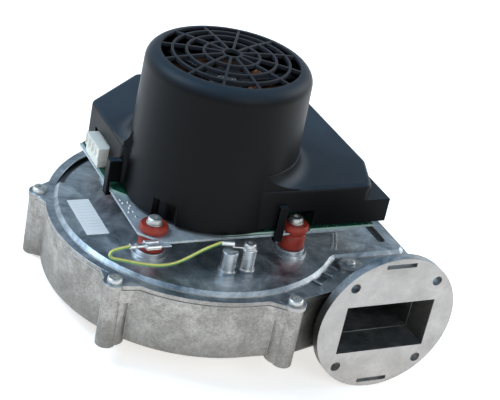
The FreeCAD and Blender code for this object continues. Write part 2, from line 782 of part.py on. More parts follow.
def screw(name, place, head, height, shank, length, socket, depth):
    """A pan-head screw whose head sits on the point place."""
    body = new_body(name)
    turned(body, name + "_form", [[
        ("0", f"- {length}"),
        (f"{shank} - 0.4", f"- {length}"),
        (shank, f"- {length} + 0.4"),
        (shank, "0"),
        (head, "0"),
        (head, f"{height} * 0.5"),
        (f"{head} * 0.78", height),
        ("0", height),
    ]])
    pocket(body, name + "_socket", [("0", "0", socket)], f"{height} + 0.5", f"{depth} + 0.5")
    for axis, text in zip("xyz", place):
        bind(body, f"Placement.Base.{axis}", text)
    return body


for letter, (x, y) in zip(BOSSES, boss_places()):
    screw(f"housing_screw_{letter}", (x, y, "rim_top"), "screw_head", "screw_head_height",
          "screw_shank", "screw_length", "socket_radius", "socket_depth")
screw("duct_plug", ("duct_pad_x", "- duct_pad_y", "rim_top + duct_pad_height"),
      "duct_plug_head", "duct_plug_height", "screw_shank", "duct_pad_height", "duct_plug_socket",
      "duct_plug_height / 2")

# Rubber mounts: a grommet in each hole of the motor plate, on a steel sleeve and a long screw
for index in MOUNTS:
    place = (f"mount_{index}_x", f"mount_{index}_y", "pad_top")
    foot = "plate_bottom - pad_top - grommet_neck_gap"
    top = "plate_top - pad_top + grommet_neck_gap"
    grommet = new_body(f"grommet_{index}")
    turned(grommet, f"grommet_form_{index}", [[
        ("sleeve_radius + rubber_fit", "0"),
        ("grommet_radius - 0.8", "0"),
        ("grommet_radius", "0.8"),
        ("grommet_radius", f"{foot} - 1"),
        ("grommet_radius - 1", foot),
        ("grommet_neck", foot),
        ("grommet_neck", top),
        ("grommet_radius - 0.6", top),
        ("grommet_radius", f"{top} + 0.8"),
        ("grommet_radius", f"{top} + grommet_top_height - 1"),
        ("grommet_radius - 1", f"{top} + grommet_top_height"),
        ("sleeve_radius + rubber_fit", f"{top} + grommet_top_height"),
    ]])
    sleeve = new_body(f"sleeve_{index}")
    pad(sleeve, f"sleeve_form_{index}", [("0", "0", "sleeve_radius"), ("0", "0", "sleeve_bore")],
        "0", "sleeve_length")
    for body in (grommet, sleeve):
        for axis, text in zip("xyz", place):
            bind(body, f"Placement.Base.{axis}", text)
    screw(f"mount_screw_{index}", (place[0], place[1], "pad_top + sleeve_length"),
          "mount_screw_head", "screw_head_height", "screw_shank", "mount_screw_length",
          "socket_radius", "socket_depth")

# Steel motor plate with the earth tab
plate = new_body("motor_plate")
pad(plate, "plate", [[
    ("- plate_left", "- plate_front + plate_corner_cut"),
    ("- plate_left + plate_corner_cut", "- plate_front"),
    ("plate_right", "- plate_front"),
    ("plate_right", "plate_rear"),
    ("- plate_left", "plate_rear"),
]], "plate_bottom", "plate_thick")
pad(plate, "earth_tab", [box_outline("- tab_end_x", "- tab_y - tab_width / 2",
                                     "- tab_root_x", "- tab_y + tab_width / 2")],
    "tab_middle - tab_thick / 2", "tab_thick")
pocket(plate, "plate_holes", mount_circles("grommet_neck + rubber_fit")
       + [("0", "0", "shaft_radius + 3")], "plate_top + 1", "plate_thick + 2")

# Circuit board on the plate, under the plastic cover
board = new_body("circuit_board")
pad(board, "board", [[
    ("- plate_left + board_step", "- plate_front + plate_corner_cut + board_step"),
    ("- plate_left + plate_corner_cut + board_step", "- plate_front + board_step"),
    ("board_right", "- plate_front + board_step"),
    ("board_right", "skirt_right_rear"),
    ("skirt_corner_right + 2", "board_rear"),
    ("- skirt_corner_left + 4", "board_rear"),
    ("- plate_left + board_step", "skirt_left_rear - 4"),
]], "plate_top", "board_thick")
stand_places = ring_of_four("stand_circle * 2", "stand_radius + 0.4")
pocket(board, "board_holes",
       mount_circles("board_hole") + [("0", "0", "carrier_radius")] + stand_places,
       "board_top + 1", "board_thick + 2")

# Signal connector on the board's left edge
plug = new_body("signal_connector")
plug_left = "- plate_left - plug_overhang"
pad(plug, "plug", [box_outline(plug_left, "plug_front_y", f"{plug_left} + plug_width",
                               "plug_front_y + plug_length")], "board_top", "plug_height")
plug_pitch = "plug_length / plug_windows"
for index in range(int(number("plug_windows"))):
    middle = f"plug_front_y + {plug_pitch} * {index + 0.5}"
    pocket(plug, f"plug_window_{index + 1}", [box_outline(
        f"{middle} - {plug_pitch} * 0.32", "board_top + plug_height * 0.3",
        f"{middle} + {plug_pitch} * 0.32", "board_top + plug_height * 0.78",
    )], f"{plug_left} - 1", "plug_window_depth + 1", "YZ_Plane", upward=True)

# Bearings, the cup that holds the lower one under the plate, and the shaft seal
carrier = new_body("bearing_carrier")
lip_z = "plate_bottom - 1.5"
turned(carrier, "carrier", [[
    ("bearing_radius + bearing_fit", "carrier_bottom"),
    ("carrier_radius", "carrier_bottom"),
    ("carrier_radius", "plate_bottom - 2"),
    ("carrier_flange", "plate_bottom - 2"),
    ("carrier_flange", "plate_bottom"),
    ("shaft_radius + 3", "plate_bottom"),
    ("shaft_radius + 3", lip_z),
    ("bearing_radius + bearing_fit", lip_z),
]])


def bearing(name, bottom):
    """A shielded ball bearing as one ring, with the shield set back on both faces."""
    body = new_body(name)
    low, high = bottom, f"{bottom} + bearing_width"
    turned(body, name + "_form", [[
        ("shaft_radius + bearing_fit", low),
        ("shaft_radius + 2", low),
        ("shaft_radius + 2", f"{low} + 0.5"),
        ("bearing_radius - 1.8", f"{low} + 0.5"),
        ("bearing_radius - 1.8", low),
        ("bearing_radius", low),
        ("bearing_radius", high),
        ("bearing_radius - 1.8", high),
        ("bearing_radius - 1.8", f"{high} - 0.5"),
        ("shaft_radius + 2", f"{high} - 0.5"),
        ("shaft_radius + 2", high),
        ("shaft_radius + bearing_fit", high),
    ]])


bearing("lower_bearing", f"{lip_z} - bearing_width")
seal = new_body("shaft_seal")
turned(seal, "seal", [box_outline("shaft_radius + 0.06", "rim_top", "seal_bore - 0.05",
                                  "deck_top + hub_height - 0.6")])

# Stator: laminated core on four stands, windings through its slots, and the end bracket
core = new_body("stator_core")
pad(core, "core", [("0", "0", "core_radius"), ("0", "0", "core_bore")],
    "core_bottom", "core_height")
slot = pocket(core, "slot", [[
    ("core_bore - 1", "- 1"),
    ("winding_inner - 0.5", "- 1"),
    ("winding_inner", "- slot_half_width * 0.8"),
    ("slot_root", "- slot_half_width"),
    ("slot_root", "slot_half_width"),
    ("winding_inner", "slot_half_width * 0.8"),
    ("winding_inner - 0.5", "1"),
    ("core_bore - 1", "1"),
]], "core_top + 1", "core_height + 2")
polar(core, "slots", slot, "slot_count")

windings = new_body("stator_windings")
slot_bar = pad(windings, "slot_bar", [[
    ("winding_inner + winding_fit", "- slot_half_width * 0.8 + winding_fit"),
    ("slot_root - winding_fit", "- slot_half_width + winding_fit"),
    ("slot_root - winding_fit", "slot_half_width - winding_fit"),
    ("winding_inner + winding_fit", "slot_half_width * 0.8 - winding_fit"),
]], "core_bottom - 2", "core_height + 4")
polar(windings, "slot_bars", slot_bar, "slot_count")
for end, near, side in (("upper", "core_top", "+"), ("lower", "core_bottom", "-")):
    turned(windings, f"{end}_end_turns", [[
        ("winding_inner", f"{near} {side} winding_fit"),
        ("winding_outer", f"{near} {side} winding_fit"),
        ("winding_outer", f"{near} {side} winding_overhang * 0.7"),
        ("winding_outer - 4", f"{near} {side} winding_overhang"),
        ("winding_inner + 3", f"{near} {side} winding_overhang"),
        ("winding_inner", f"{near} {side} winding_overhang * 0.75"),
    ]])

for index, (x, y, _) in enumerate(ring_of_four("stand_circle * 2", "stand_radius"), 1):
    stand = doc.addObject("Part::Cylinder", f"stator_stand_{index}")
    stand.Label = f"stator_stand_{index}"
    bind(stand, "Radius", "stand_radius")
    bind(stand, "Height", "core_bottom - plate_top")
    for axis, text in zip("xyz", (x, y, "plate_top")):
        bind(stand, f"Placement.Base.{axis}", text)
    nodes.append(stand)

bracket = new_body("end_bracket")
hub_bottom = "bracket_bottom - bearing_width + 1"
turned(bracket, "bracket_hub", [[
    ("bearing_radius + bearing_fit", hub_bottom),
    ("carrier_radius", hub_bottom),
    ("carrier_radius", "bracket_top"),
    ("shaft_radius + 3", "bracket_top"),
    ("shaft_radius + 3", "bracket_top - 1"),
    ("bearing_radius + bearing_fit", "bracket_top - 1"),
]])
arm = pad(bracket, "arm", [box_outline("carrier_radius - 1", "- bracket_arm / 2",
                                       "core_radius - 0.5", "bracket_arm / 2")],
          "bracket_bottom", "bracket_thick")
polar(bracket, "arms", arm, "3")
leg = pad(bracket, "leg", [box_outline("winding_outer + 0.7", "- bracket_arm / 2",
                                       "core_radius - 0.5", "bracket_arm / 2")],
          "core_top", "bracket_bottom - core_top + 1")
polar(bracket, "legs", leg, "3")
bearing("upper_bearing", "bracket_top - 1 - bearing_width")

# Turning parts: shaft, magnet rotor, impeller and its nut
shaft = new_body("motor_shaft")
turned(shaft, "shaft", [[
    ("0", "shaft_bottom"),
    ("shaft_radius - 0.6", "shaft_bottom"),
    ("shaft_radius", "shaft_bottom + 0.6"),
    ("shaft_radius", "shaft_top - 0.6"),
    ("shaft_radius - 0.6", "shaft_top"),
    ("0", "shaft_top"),
]])
rotor = new_body("motor_rotor")
turned(rotor, "rotor", [[
    ("shaft_radius + bearing_fit", "core_bottom - 2"),
    ("core_bore - rotor_gap - 1", "core_bottom - 2"),
    ("core_bore - rotor_gap", "core_bottom - 1"),
    ("core_bore - rotor_gap", "core_top + 1"),
    ("core_bore - rotor_gap - 1", "core_top + 2"),
    ("shaft_radius + bearing_fit", "core_top + 2"),
]])

wheel = new_body("impeller")
rim_z = "disc_bottom - outlet_width"
blade = pad(wheel, "blade", [[
    ("blade_inner", "- blade_thick / 2"),
    ("blade_inner + blade_thick * 0.2", "- blade_thick / 2", "blade_radius", 1),
    ("blade_end_x", "blade_end_y"),
    ("blade_end_x - blade_thick", "blade_end_y + blade_thick * 0.3", "blade_radius", -1),
    ("blade_inner", "blade_thick / 2"),
]], "shroud_bend_z - 2", "disc_bottom - shroud_bend_z + 2.3")
polar(wheel, "blades", blade, "blade_count")
turned(wheel, "shroud_trim", [[
    ("eye_inner", "shroud_bend_z - 4"),
    ("impeller_radius + 2", "shroud_bend_z - 4"),
    ("impeller_radius + 2", f"{rim_z} - shroud_thick / 2"),
    ("shroud_bend", "shroud_bend_z - shroud_thick / 2"),
    ("eye_inner", "shroud_bend_z - shroud_thick"),
]], "PartDesign::Groove")
turned(wheel, "back_disc", [[
    ("shaft_radius + bearing_fit", "disc_bottom - hub_length"),
    ("impeller_hub", "disc_bottom - hub_length"),
    ("impeller_hub + 2", "disc_bottom"),
    ("impeller_radius", "disc_bottom"),
    ("impeller_radius", "disc_bottom + disc_thick"),
    ("impeller_hub", "disc_bottom + disc_thick"),
    ("impeller_hub", "disc_bottom + disc_thick + 2"),
    ("shaft_radius + bearing_fit", "disc_bottom + disc_thick + 2"),
]])
turned(wheel, "shroud", [[
    ("eye_inner", "inlet_nozzle_top - eye_lap"),
    ("eye_inner + shroud_thick", "inlet_nozzle_top - eye_lap"),
    ("eye_inner + shroud_thick", "shroud_bend_z - shroud_thick - 0.8"),
    ("shroud_bend", "shroud_bend_z - shroud_thick"),
    ("impeller_radius", f"{rim_z} - shroud_thick"),
    ("impeller_radius", rim_z),
    ("shroud_bend", "shroud_bend_z"),
    ("eye_inner", "shroud_bend_z - 0.8"),
]])

nut_block = doc.addObject("Part::Prism", "nut_block")
nut_block.Polygon = 6
bind(nut_block, "Circumradius", "nut_across * 0.57735")
bind(nut_block, "Height", "nut_height")
nut_hole = doc.addObject("Part::Cylinder", "nut_hole")
bind(nut_hole, "Radius", "shaft_radius + bearing_fit")
bind(nut_hole, "Height", "nut_height")
nut = doc.addObject("Part::Cut", "impeller_nut")
nut.Label = "impeller_nut"
nut.Base = nut_block
nut.Tool = nut_hole
bind(nut, "Placement.Base.z", "disc_bottom - hub_length - nut_height")
nodes.append(nut)


def skirt(inset):
    """Plan outline of the cover's low part, which hides the board, moved inwards by inset."""
    return [
        ("0", f"- skirt_front + {inset}"),
        (f"skirt_corner_x - {inset}", f"- skirt_front + {inset}"),
        (f"skirt_right - {inset}", f"- skirt_corner_y + {inset}"),
        (f"skirt_right - {inset}", f"skirt_right_rear - {inset}"),
        (f"skirt_corner_right - {inset} / 2", f"skirt_rear - {inset}"),
        (f"- skirt_corner_left + {inset} / 2", f"skirt_rear - {inset}"),
        (f"- skirt_left + {inset}", f"skirt_left_rear - {inset} / 2"),
        (f"- skirt_left + {inset}", f"skirt_left_front + {inset}"),
        (f"- skirt_left + {inset} + 20", "0"),
    ]


# Plastic cover: a dome over the motor, a skirt over the board, clips, windows and a web grille
cover = new_body("motor_cover")
skirt_pad = pad(cover, "skirt", [skirt("0")], "skirt_bottom", "skirt_top - skirt_bottom")
skirt_top = number("skirt_top")
dome_inside = number("dome_top_radius") ** 2
soften(cover, "skirt_corners", skirt_pad,
       lambda e: upright(e) and e.CenterOfMass.x ** 2 + e.CenterOfMass.y ** 2 > dome_inside + 500,
       "skirt_round * 2")
rounded = cover.Tip
soften(cover, "skirt_edge", rounded,
       lambda e: level(e, skirt_top) and max(v.Point.x ** 2 + v.Point.y ** 2
                                             for v in e.Vertexes) > dome_inside + 500
       and e.CenterOfMass.Length > 72,
       "skirt_round")
ledge = pad(cover, "ledge", [box_outline("ledge_left", "- skirt_front", "ledge_right",
                                         "- ledge_rear")],
            "skirt_bottom", "ledge_top - skirt_bottom")
blend_top = "skirt_top + blend_radius"
turned(cover, "blend", [[
    ("dome_top_radius - 5", "skirt_top - 1"),
    ("dome_base_radius + blend_radius", "skirt_top - 1"),
    ("dome_base_radius + blend_radius", "skirt_top", "blend_radius", -1),
    ("dome_base_radius", blend_top),
    ("dome_top_radius - 5", blend_top),
]])
pocket(cover, "blend_trim", [box_outline("- 120", "- 120", "120", "120"), skirt("0")],
       f"{blend_top} + 1", "blend_radius + 2")
turned(cover, "dome", [[
    ("0", "dome_bottom"),
    ("dome_base_radius", "dome_bottom"),
    ("dome_top_radius", "dome_top - dome_round", "dome_round", 1),
    ("dome_top_radius - dome_round", "dome_top"),
    ("0", "dome_top"),
]])
pocket(cover, "skirt_hollow", [skirt("cover_wall")], "dome_bottom - 1",
       "skirt_top - cover_wall - dome_bottom + 1", upward=True)
pocket(cover, "ledge_hollow", [box_outline(
    "ledge_left + cover_wall", "- skirt_front + cover_wall", "ledge_right - cover_wall",
    "- ledge_rear - cover_wall")], "skirt_bottom - 1", "ledge_top - cover_wall - skirt_bottom + 1",
    upward=True)
turned(cover, "dome_hollow", [[
    ("0", "dome_bottom - 1"),
    ("dome_base_radius - cover_wall", "dome_bottom - 1"),
    ("dome_top_radius - cover_wall", "dome_top - dome_round", "dome_round - cover_wall", 1),
    ("dome_top_radius - dome_round", "dome_top - cover_wall"),
    ("0", "dome_top - cover_wall"),
]], "PartDesign::Groove")
pocket(cover, "grille_opening", [("0", "0", "grille_radius")], "dome_top + 1", "cover_wall + 2")
spoke = pad(cover, "spoke", [[
    ("grille_ring_1", "grille_z_1 - grille_depth", "grille_sphere", -1),
    ("grille_radius + 0.7", "dome_top - 0.3 - grille_depth"),
    ("grille_radius + 0.7", "dome_top - 0.3", "grille_sphere", 1),
    ("grille_ring_1", "grille_z_1"),
]], "- grille_bar / 2", "grille_bar", "XZ_Plane")
polar(cover, "spokes", spoke, "grille_spokes")
turned(cover, "grille_rings", [box_outline(
    f"grille_ring_{i} - grille_bar / 2", f"grille_z_{i} - grille_depth",
    f"grille_ring_{i} + grille_bar / 2", f"grille_z_{i}") for i in (1, 2, 3, 4)])
for index, reach in ((1, "dome_window_reach"), (2, "skirt_window_reach")):
    pocket(cover, f"window_{index}", [(f"mount_{index}_x", f"mount_{index}_y", reach)],
           "window_top", "window_top - dome_bottom + 1")
pocket(cover, "plug_opening", [box_outline(
    "plug_front_y - 1.5", "dome_bottom - 1", "plug_front_y + plug_length + 1.5",
    "plug_opening_top")], "- skirt_left - 3", "cover_wall + 4", "YZ_Plane", upward=True)

front_out = "- plate_front - clip_gap - clip_thick"
left_out = "- plate_left - clip_gap - clip_thick"
clip_forms = {
    "arm": ("clip_bend", "clip_top - clip_bend", "- skirt_front + 1", "- skirt_left + 1"),
    "leg": ("clip_bottom", "clip_bend - clip_bottom + 1", "- plate_front - clip_gap",
            "- plate_left - clip_gap"),
    "hook": ("clip_bottom", "clip_drop - 0.3", "- plate_front + 1.2", "- plate_left + 1.2"),
}
for name, (low, run, front_in, left_in) in clip_forms.items():
    pad(cover, f"front_clip_{name}", [box_outline(
        "clip_front_x - clip_width / 2", front_out, "clip_front_x + clip_width / 2", front_in,
    )], low, run)
    pad(cover, f"left_clip_{name}", [box_outline(
        left_out, "clip_left_y - clip_width / 2", left_in, "clip_left_y + clip_width / 2",
    )], low, run)

# Earth connection: receptacle on the plate's tab, lead, ring terminal and screw on the post
receptacle = new_body("earth_receptacle")
rear_x = "- tab_end_x - 1"
pad(receptacle, "sleeve", [
    box_outline("- tab_y - tab_width / 2 - receptacle_fit - receptacle_wall",
                "tab_middle - tab_space - receptacle_wall",
                "- tab_y + tab_width / 2 + receptacle_fit + receptacle_wall",
                "tab_middle + tab_space + receptacle_wall"),
    box_outline("- tab_y - tab_width / 2 - receptacle_fit", "tab_middle - tab_space",
                "- tab_y + tab_width / 2 + receptacle_fit", "tab_middle + tab_space"),
], rear_x, "receptacle_length", "YZ_Plane")
pad(receptacle, "crimp", [("- tab_y", "tab_middle", "crimp_radius")],
    f"{rear_x} - crimp_length", "crimp_length + 0.8", "YZ_Plane")

eye = new_body("ring_terminal")
pad(eye, "eye", [("0", "0", "eye_radius"), ("0", "0", "eye_hole")], "0", "eye_thick")
pad(eye, "neck", [box_outline("eye_hole + 0.5", "- 1.8", "eye_neck + 1", "1.8")],
    "0", "eye_thick")
pad(eye, "barrel", [("0", "crimp_radius", "crimp_radius")], "eye_neck", "crimp_length", "YZ_Plane")
turn = FreeCAD.Rotation(FreeCAD.Vector(0, 0, 1), number("eye_turn"))
eye.Placement = FreeCAD.Placement(FreeCAD.Vector(0, 0, 0), turn)
for axis, text in zip("xyz", ("post_right_x", "- post_y", "deck_top + post_height")):
    bind(eye, f"Placement.Base.{axis}", text)
screw("earth_screw", ("post_right_x", "- post_y", "deck_top + post_height + eye_thick"),
      "earth_head", "earth_head_height", "earth_shank", "earth_screw_length", "socket_radius * 0.7",
      "earth_head_height / 2")


def lead_path(points):
    """Straight runs joined by tangent arcs, each as large as its two runs allow."""
    edges, start, radii = [], points[0], []
    for before, corner, after in zip(points, points[1:], points[2:]):
        inward = (before - corner).normalize()
        outward = (after - corner).normalize()
        half_turn = (math.pi - inward.getAngle(outward)) / 2
        run = min((before - corner).Length, (after - corner).Length)
        setback = 0.45 * run
        radius = setback / math.tan(half_turn)
        first = corner + inward * setback
        last = corner + outward * setback
        middle = (inward + outward).normalize()
        rise = radius / math.cos(half_turn) - radius
        edges.append(Part.LineSegment(start, first).toShape())
        edges.append(Part.Arc(first, corner + middle * rise, last).toShape())
        radii.append(radius)
        start = last
    edges.append(Part.LineSegment(start, points[-1]).toShape())
    length = sum(edge.Length for edge in edges)
    return Part.Wire(edges), radii, length


# The lead leaves the receptacle, folds back under the tab and sags along the deck to the post.
# Its points are set off from the crimp's mouth, towards +X, +Y and +Z.
lead_start = FreeCAD.Vector(-number("tab_end_x") - 1 - number("crimp_length"), -number("tab_y"),
                            number("tab_middle"))
lead_offsets = (
    (-10.2, -0.3, -0.75), (-11.0, -2.0, -5.15), (-3.6, -3.0, -7.55), (6.0, -5.8, -9.15),
    (15.6, -8.4, -9.75), (24.8, -9.0, -9.35), (33.6, -7.6, -7.75), (42.4, -5.6, -4.95),
    (50.6, -4.8, -1.55),
)
lead_points = [lead_start] + [lead_start + FreeCAD.Vector(*offset) for offset in lead_offsets]
lead_points.append(FreeCAD.Vector(number("lead_end_x"), -number("lead_end_y"),
                                  number("deck_top + post_height + crimp_radius")))
route, radii, route_length = lead_path(lead_points)
profile = Part.Wire(Part.makeCircle(number("lead_radius"), lead_points[0],
                                    lead_points[1] - lead_points[0]))
tube = route.makePipeShell([profile], True, False)
lead = doc.addObject("Part::Feature", "earth_lead")
lead.Label = "earth_lead"
lead.Shape = tube
nodes.append(lead)
print("lead radii", [round(radius, 1) for radius in radii])
section = math.pi * number("lead_radius") ** 2
print("lead volume", round(tube.Volume, 1), "section by length", round(section * route_length, 1))

label = doc.addObject("Part::Box", "rating_label")
label.Label = "rating_label"
for prop, text in (("Length", "label_width"), ("Width", "label_length"),
                   ("Height", "label_thick"),
                   ("Placement.Base.x", "- label_x - label_width / 2"),
                   ("Placement.Base.y", "label_y - label_length / 2"),
                   ("Placement.Base.z", "deck_top")):
    bind(label, prop, text)
nodes.append(label)

doc.recompute()
faults = [thing.Name for thing in doc.Objects
          if "Invalid" in thing.State or "Error" in thing.State]
if faults:
    raise RuntimeError("failed objects: " + ", ".join(faults))
for node in nodes:
    if node.Shape.isNull() or not node.Shape.isValid():
        raise RuntimeError("bad shape in " + node.Label)
    print(node.Label, len(node.Shape.Solids), round(node.Shape.Volume), "mm3")

os.makedirs("parts", exist_ok=True)
for node in nodes:
    node.Shape.exportStep(f"parts/{node.Label}.step")
print(len(nodes), "sub-parts")
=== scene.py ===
# %% [markdown]
# # A radial blower
#
# The object is a fan that blows air through a round flange. A cast aluminium scroll lies flat,
# and a motor stands on it under a black plastic cover with a grille like a web. The solid model
# gives every main form at its real size, so this lesson is about surfaces: cast metal, moulded
# plastic, rubber, zinc and copper, and the small pieces that make them believable.

# %% Load the solid model
import json
import math

import bmesh
import bpy
from mathutils import Euler, Matrix, Vector


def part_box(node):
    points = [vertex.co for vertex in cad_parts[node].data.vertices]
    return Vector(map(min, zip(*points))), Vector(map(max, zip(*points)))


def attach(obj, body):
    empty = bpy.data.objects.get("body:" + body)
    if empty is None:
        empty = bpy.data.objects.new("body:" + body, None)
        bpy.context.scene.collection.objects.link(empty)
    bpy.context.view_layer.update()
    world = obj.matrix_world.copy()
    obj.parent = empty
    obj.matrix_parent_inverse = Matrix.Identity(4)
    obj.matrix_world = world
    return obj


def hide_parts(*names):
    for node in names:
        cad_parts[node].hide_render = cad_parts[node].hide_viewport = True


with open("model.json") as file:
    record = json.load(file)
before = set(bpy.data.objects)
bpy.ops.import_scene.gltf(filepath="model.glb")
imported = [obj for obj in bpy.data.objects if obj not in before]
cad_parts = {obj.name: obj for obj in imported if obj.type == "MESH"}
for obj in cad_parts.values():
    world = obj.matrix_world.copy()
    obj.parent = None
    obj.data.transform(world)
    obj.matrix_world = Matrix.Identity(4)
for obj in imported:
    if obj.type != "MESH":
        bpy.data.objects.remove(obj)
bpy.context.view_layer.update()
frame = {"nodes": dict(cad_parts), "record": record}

nodes = frame["nodes"]
MM = 0.001

# %% [markdown]
# ## Camera
#
# The camera's place was worked out from circles on the object that must look round: the flange,
# the ridge on the deck and the rings of the grille. It looks down at about 29 degrees and leans
# by 12 degrees, so the motor seems to tip to the right. A long lens keeps the perspective weak.

# %% Camera
camera = bpy.data.objects.new("camera", bpy.data.cameras.new("camera"))
camera.location = (-0.3690, -0.6927, 0.4956)
camera.rotation_euler = Euler([math.radians(a) for a in (60.72, -10.58, -24.33)])
camera.data.lens = 99.16
camera.data.clip_start = 0.05
bpy.context.scene.collection.objects.link(camera)
bpy.context.scene.camera = camera
print("camera", round(camera.location.length, 3), "m from the origin")

# %% [markdown]
# ## Shader arithmetic
#
# Materials here are made of nodes. A long chain of Math nodes is hard to read, so one small class
# wraps an output socket and lets Python's own signs add the nodes: `1 - mask * 0.5` makes two of
# them. Any other node comes from one method of the class for a finish.


# %% A socket that can be used in sums
class Wire:
    """An output socket in a node tree."""

    def __init__(self, tree, socket):
        self.tree = tree
        self.socket = socket

    def math(self, kind, *values):
        node = self.tree.nodes.new("ShaderNodeMath")
        node.operation = kind
        for socket, value in zip(node.inputs, values):
            plug(self.tree, value, socket)
        return Wire(self.tree, node.outputs[0])

    def __add__(self, other):
        return self.math("ADD", self, other)

    def __sub__(self, other):
        return self.math("SUBTRACT", self, other)

    def __rsub__(self, other):
        return self.math("SUBTRACT", other, self)

    def __mul__(self, other):
        return self.math("MULTIPLY", self, other)

    def __truediv__(self, other):
        return self.math("DIVIDE", self, other)

    def __pow__(self, other):
        return self.math("POWER", self, other)

    def __gt__(self, other):
        return self.math("GREATER_THAN", self, other)

    __radd__ = __add__

    def size(self):
        """The value without its sign."""
        return self.math("ABSOLUTE", self)

    def sine(self):
        return self.math("SINE", self)

    def near(self, middle, reach, soft):
        """1 within reach of the middle value, falling to 0 over soft."""
        return (self - middle).size().step(reach + soft, reach)

    def step(self, low, high):
        """A smooth step from 0 at low to 1 at high. It falls where low is above high."""
        node = self.tree.nodes.new("ShaderNodeMapRange")
        node.interpolation_type = "SMOOTHSTEP"
        for socket, value in zip(node.inputs, (self, min(low, high), max(low, high))):
            plug(self.tree, value, socket)
        if low > high:
            node.inputs[3].default_value = 1.0
            node.inputs[4].default_value = 0.0
        return Wire(self.tree, node.outputs[0])


def plug(tree, value, socket):
    """Links a wire to a socket, or sets the socket to a plain value."""
    if isinstance(value, Wire):
        tree.links.new(value.socket, socket)
    elif isinstance(value, tuple) and len(value) == 3 and socket.type == "RGBA":
        socket.default_value = (*value, 1.0)
    else:
        socket.default_value = value


# %% A finish: one material and its nodes
class Finish:
    """A material with the pattern nodes that this lesson uses."""

    def __init__(self, name, roughness=0.5, metallic=0.0, gloss=0.5, coat=0.0):
        self.material = bpy.data.materials.new(name)
        self.material.use_nodes = True
        self.tree = self.material.node_tree
        self.shader = self.tree.nodes["Principled BSDF"]
        self.shader.inputs["Roughness"].default_value = roughness
        self.shader.inputs["Metallic"].default_value = metallic
        self.shader.inputs["Specular IOR Level"].default_value = gloss
        self.shader.inputs["Coat Weight"].default_value = coat
        self.place = self.node("ShaderNodeTexCoord", out="Object")

    def node(self, kind, inputs=None, out=0, **settings):
        """Adds a node with these inputs and settings and gives back one of its outputs."""
        node = self.tree.nodes.new(kind)
        for label, value in settings.items():
            setattr(node, label, value)
        for label, value in (inputs or {}).items():
            plug(self.tree, value, node.inputs[label])
        return Wire(self.tree, node.outputs[out])

    def noise(self, scale, detail=4.0, roughness=0.55, distortion=0.0, place=None):
        """Cloudy values about 0.5. The scale is in patterns per metre."""
        return self.node("ShaderNodeTexNoise", {
            "Vector": place or self.place, "Scale": scale, "Detail": detail,
            "Roughness": roughness, "Distortion": distortion})

    def cells(self, scale, feature="F1", out="Distance"):
        """A pattern of cells, as many to the metre as the scale says."""
        return self.node("ShaderNodeTexVoronoi", {"Vector": self.place, "Scale": scale},
                         out=out, feature=feature)

    def stretch(self, factors, shift=(0.0, 0.0, 0.0)):
        """Object coordinates, scaled and then moved."""
        return self.node("ShaderNodeMapping", {"Vector": self.place, "Scale": factors,
                                               "Location": shift})

    def axis(self, letter, place=None):
        """One coordinate of a place."""
        return self.node("ShaderNodeSeparateXYZ", {0: place or self.place}, out=letter.upper())

    def distance(self, centre, flat):
        """How far a point is from a centre in metres, with the flat axes left out as 0."""
        place = self.stretch(flat, shift=tuple(-value for value in centre))
        return self.node("ShaderNodeVectorMath", {0: place}, out="Value", operation="LENGTH")

    def facing(self, letter):
        """How far the surface faces along an axis, from -1 to 1."""
        normal = self.node("ShaderNodeNewGeometry", out="Normal")
        return self.axis(letter, normal)

    def edges(self, radius):
        """1 on the object's edges and 0 on its faces. Rounding turns an edge's normal a little,
        and the difference is made six times larger."""
        soft = self.node("ShaderNodeBevel", {"Radius": radius}, samples=6)
        normal = self.node("ShaderNodeNewGeometry", out="Normal")
        alike = self.node("ShaderNodeVectorMath", {0: soft, 1: normal}, out="Value",
                          operation="DOT_PRODUCT")
        value = (1 - alike) * 6.0
        return value.math("MINIMUM", value, 1.0)

    def mix(self, factor, first, second):
        """The first colour where the factor is 0, and the second where it is 1."""
        return self.node("ShaderNodeMix", {0: factor, 6: first, 7: second}, out=2,
                         data_type="RGBA")

    def shades(self, value, *stops):
        """A value turned into colours, from pairs of a value and its colour."""
        wire = self.node("ShaderNodeValToRGB", {0: value})
        ramp = wire.socket.node.color_ramp
        while len(ramp.elements) < len(stops):
            ramp.elements.new(0.5)
        for element, (position, shade) in zip(ramp.elements, stops):
            element.position = position
            element.color = (*shade, 1.0)
        return wire

    def paint(self, colour, roughness=None, metallic=None):
        """Gives the shader its colour, and its roughness and metal if they vary."""
        for label, value in (("Base Color", colour), ("Roughness", roughness),
                             ("Metallic", metallic)):
            if value is not None:
                plug(self.tree, value, self.shader.inputs[label])

    def relief(self, *layers, edge=0.0):
        """Bumps from pairs of height and depth in metres, over edges rounded to a radius."""
        normal = self.node("ShaderNodeBevel", {"Radius": edge}, samples=6) if edge else None
        for height, depth in layers:
            inputs = {"Height": height, "Distance": depth, "Strength": 1.0}
            if normal:
                inputs["Normal"] = normal
            normal = self.node("ShaderNodeBump", inputs)
        plug(self.tree, normal, self.shader.inputs["Normal"])


print("shader helpers ready")
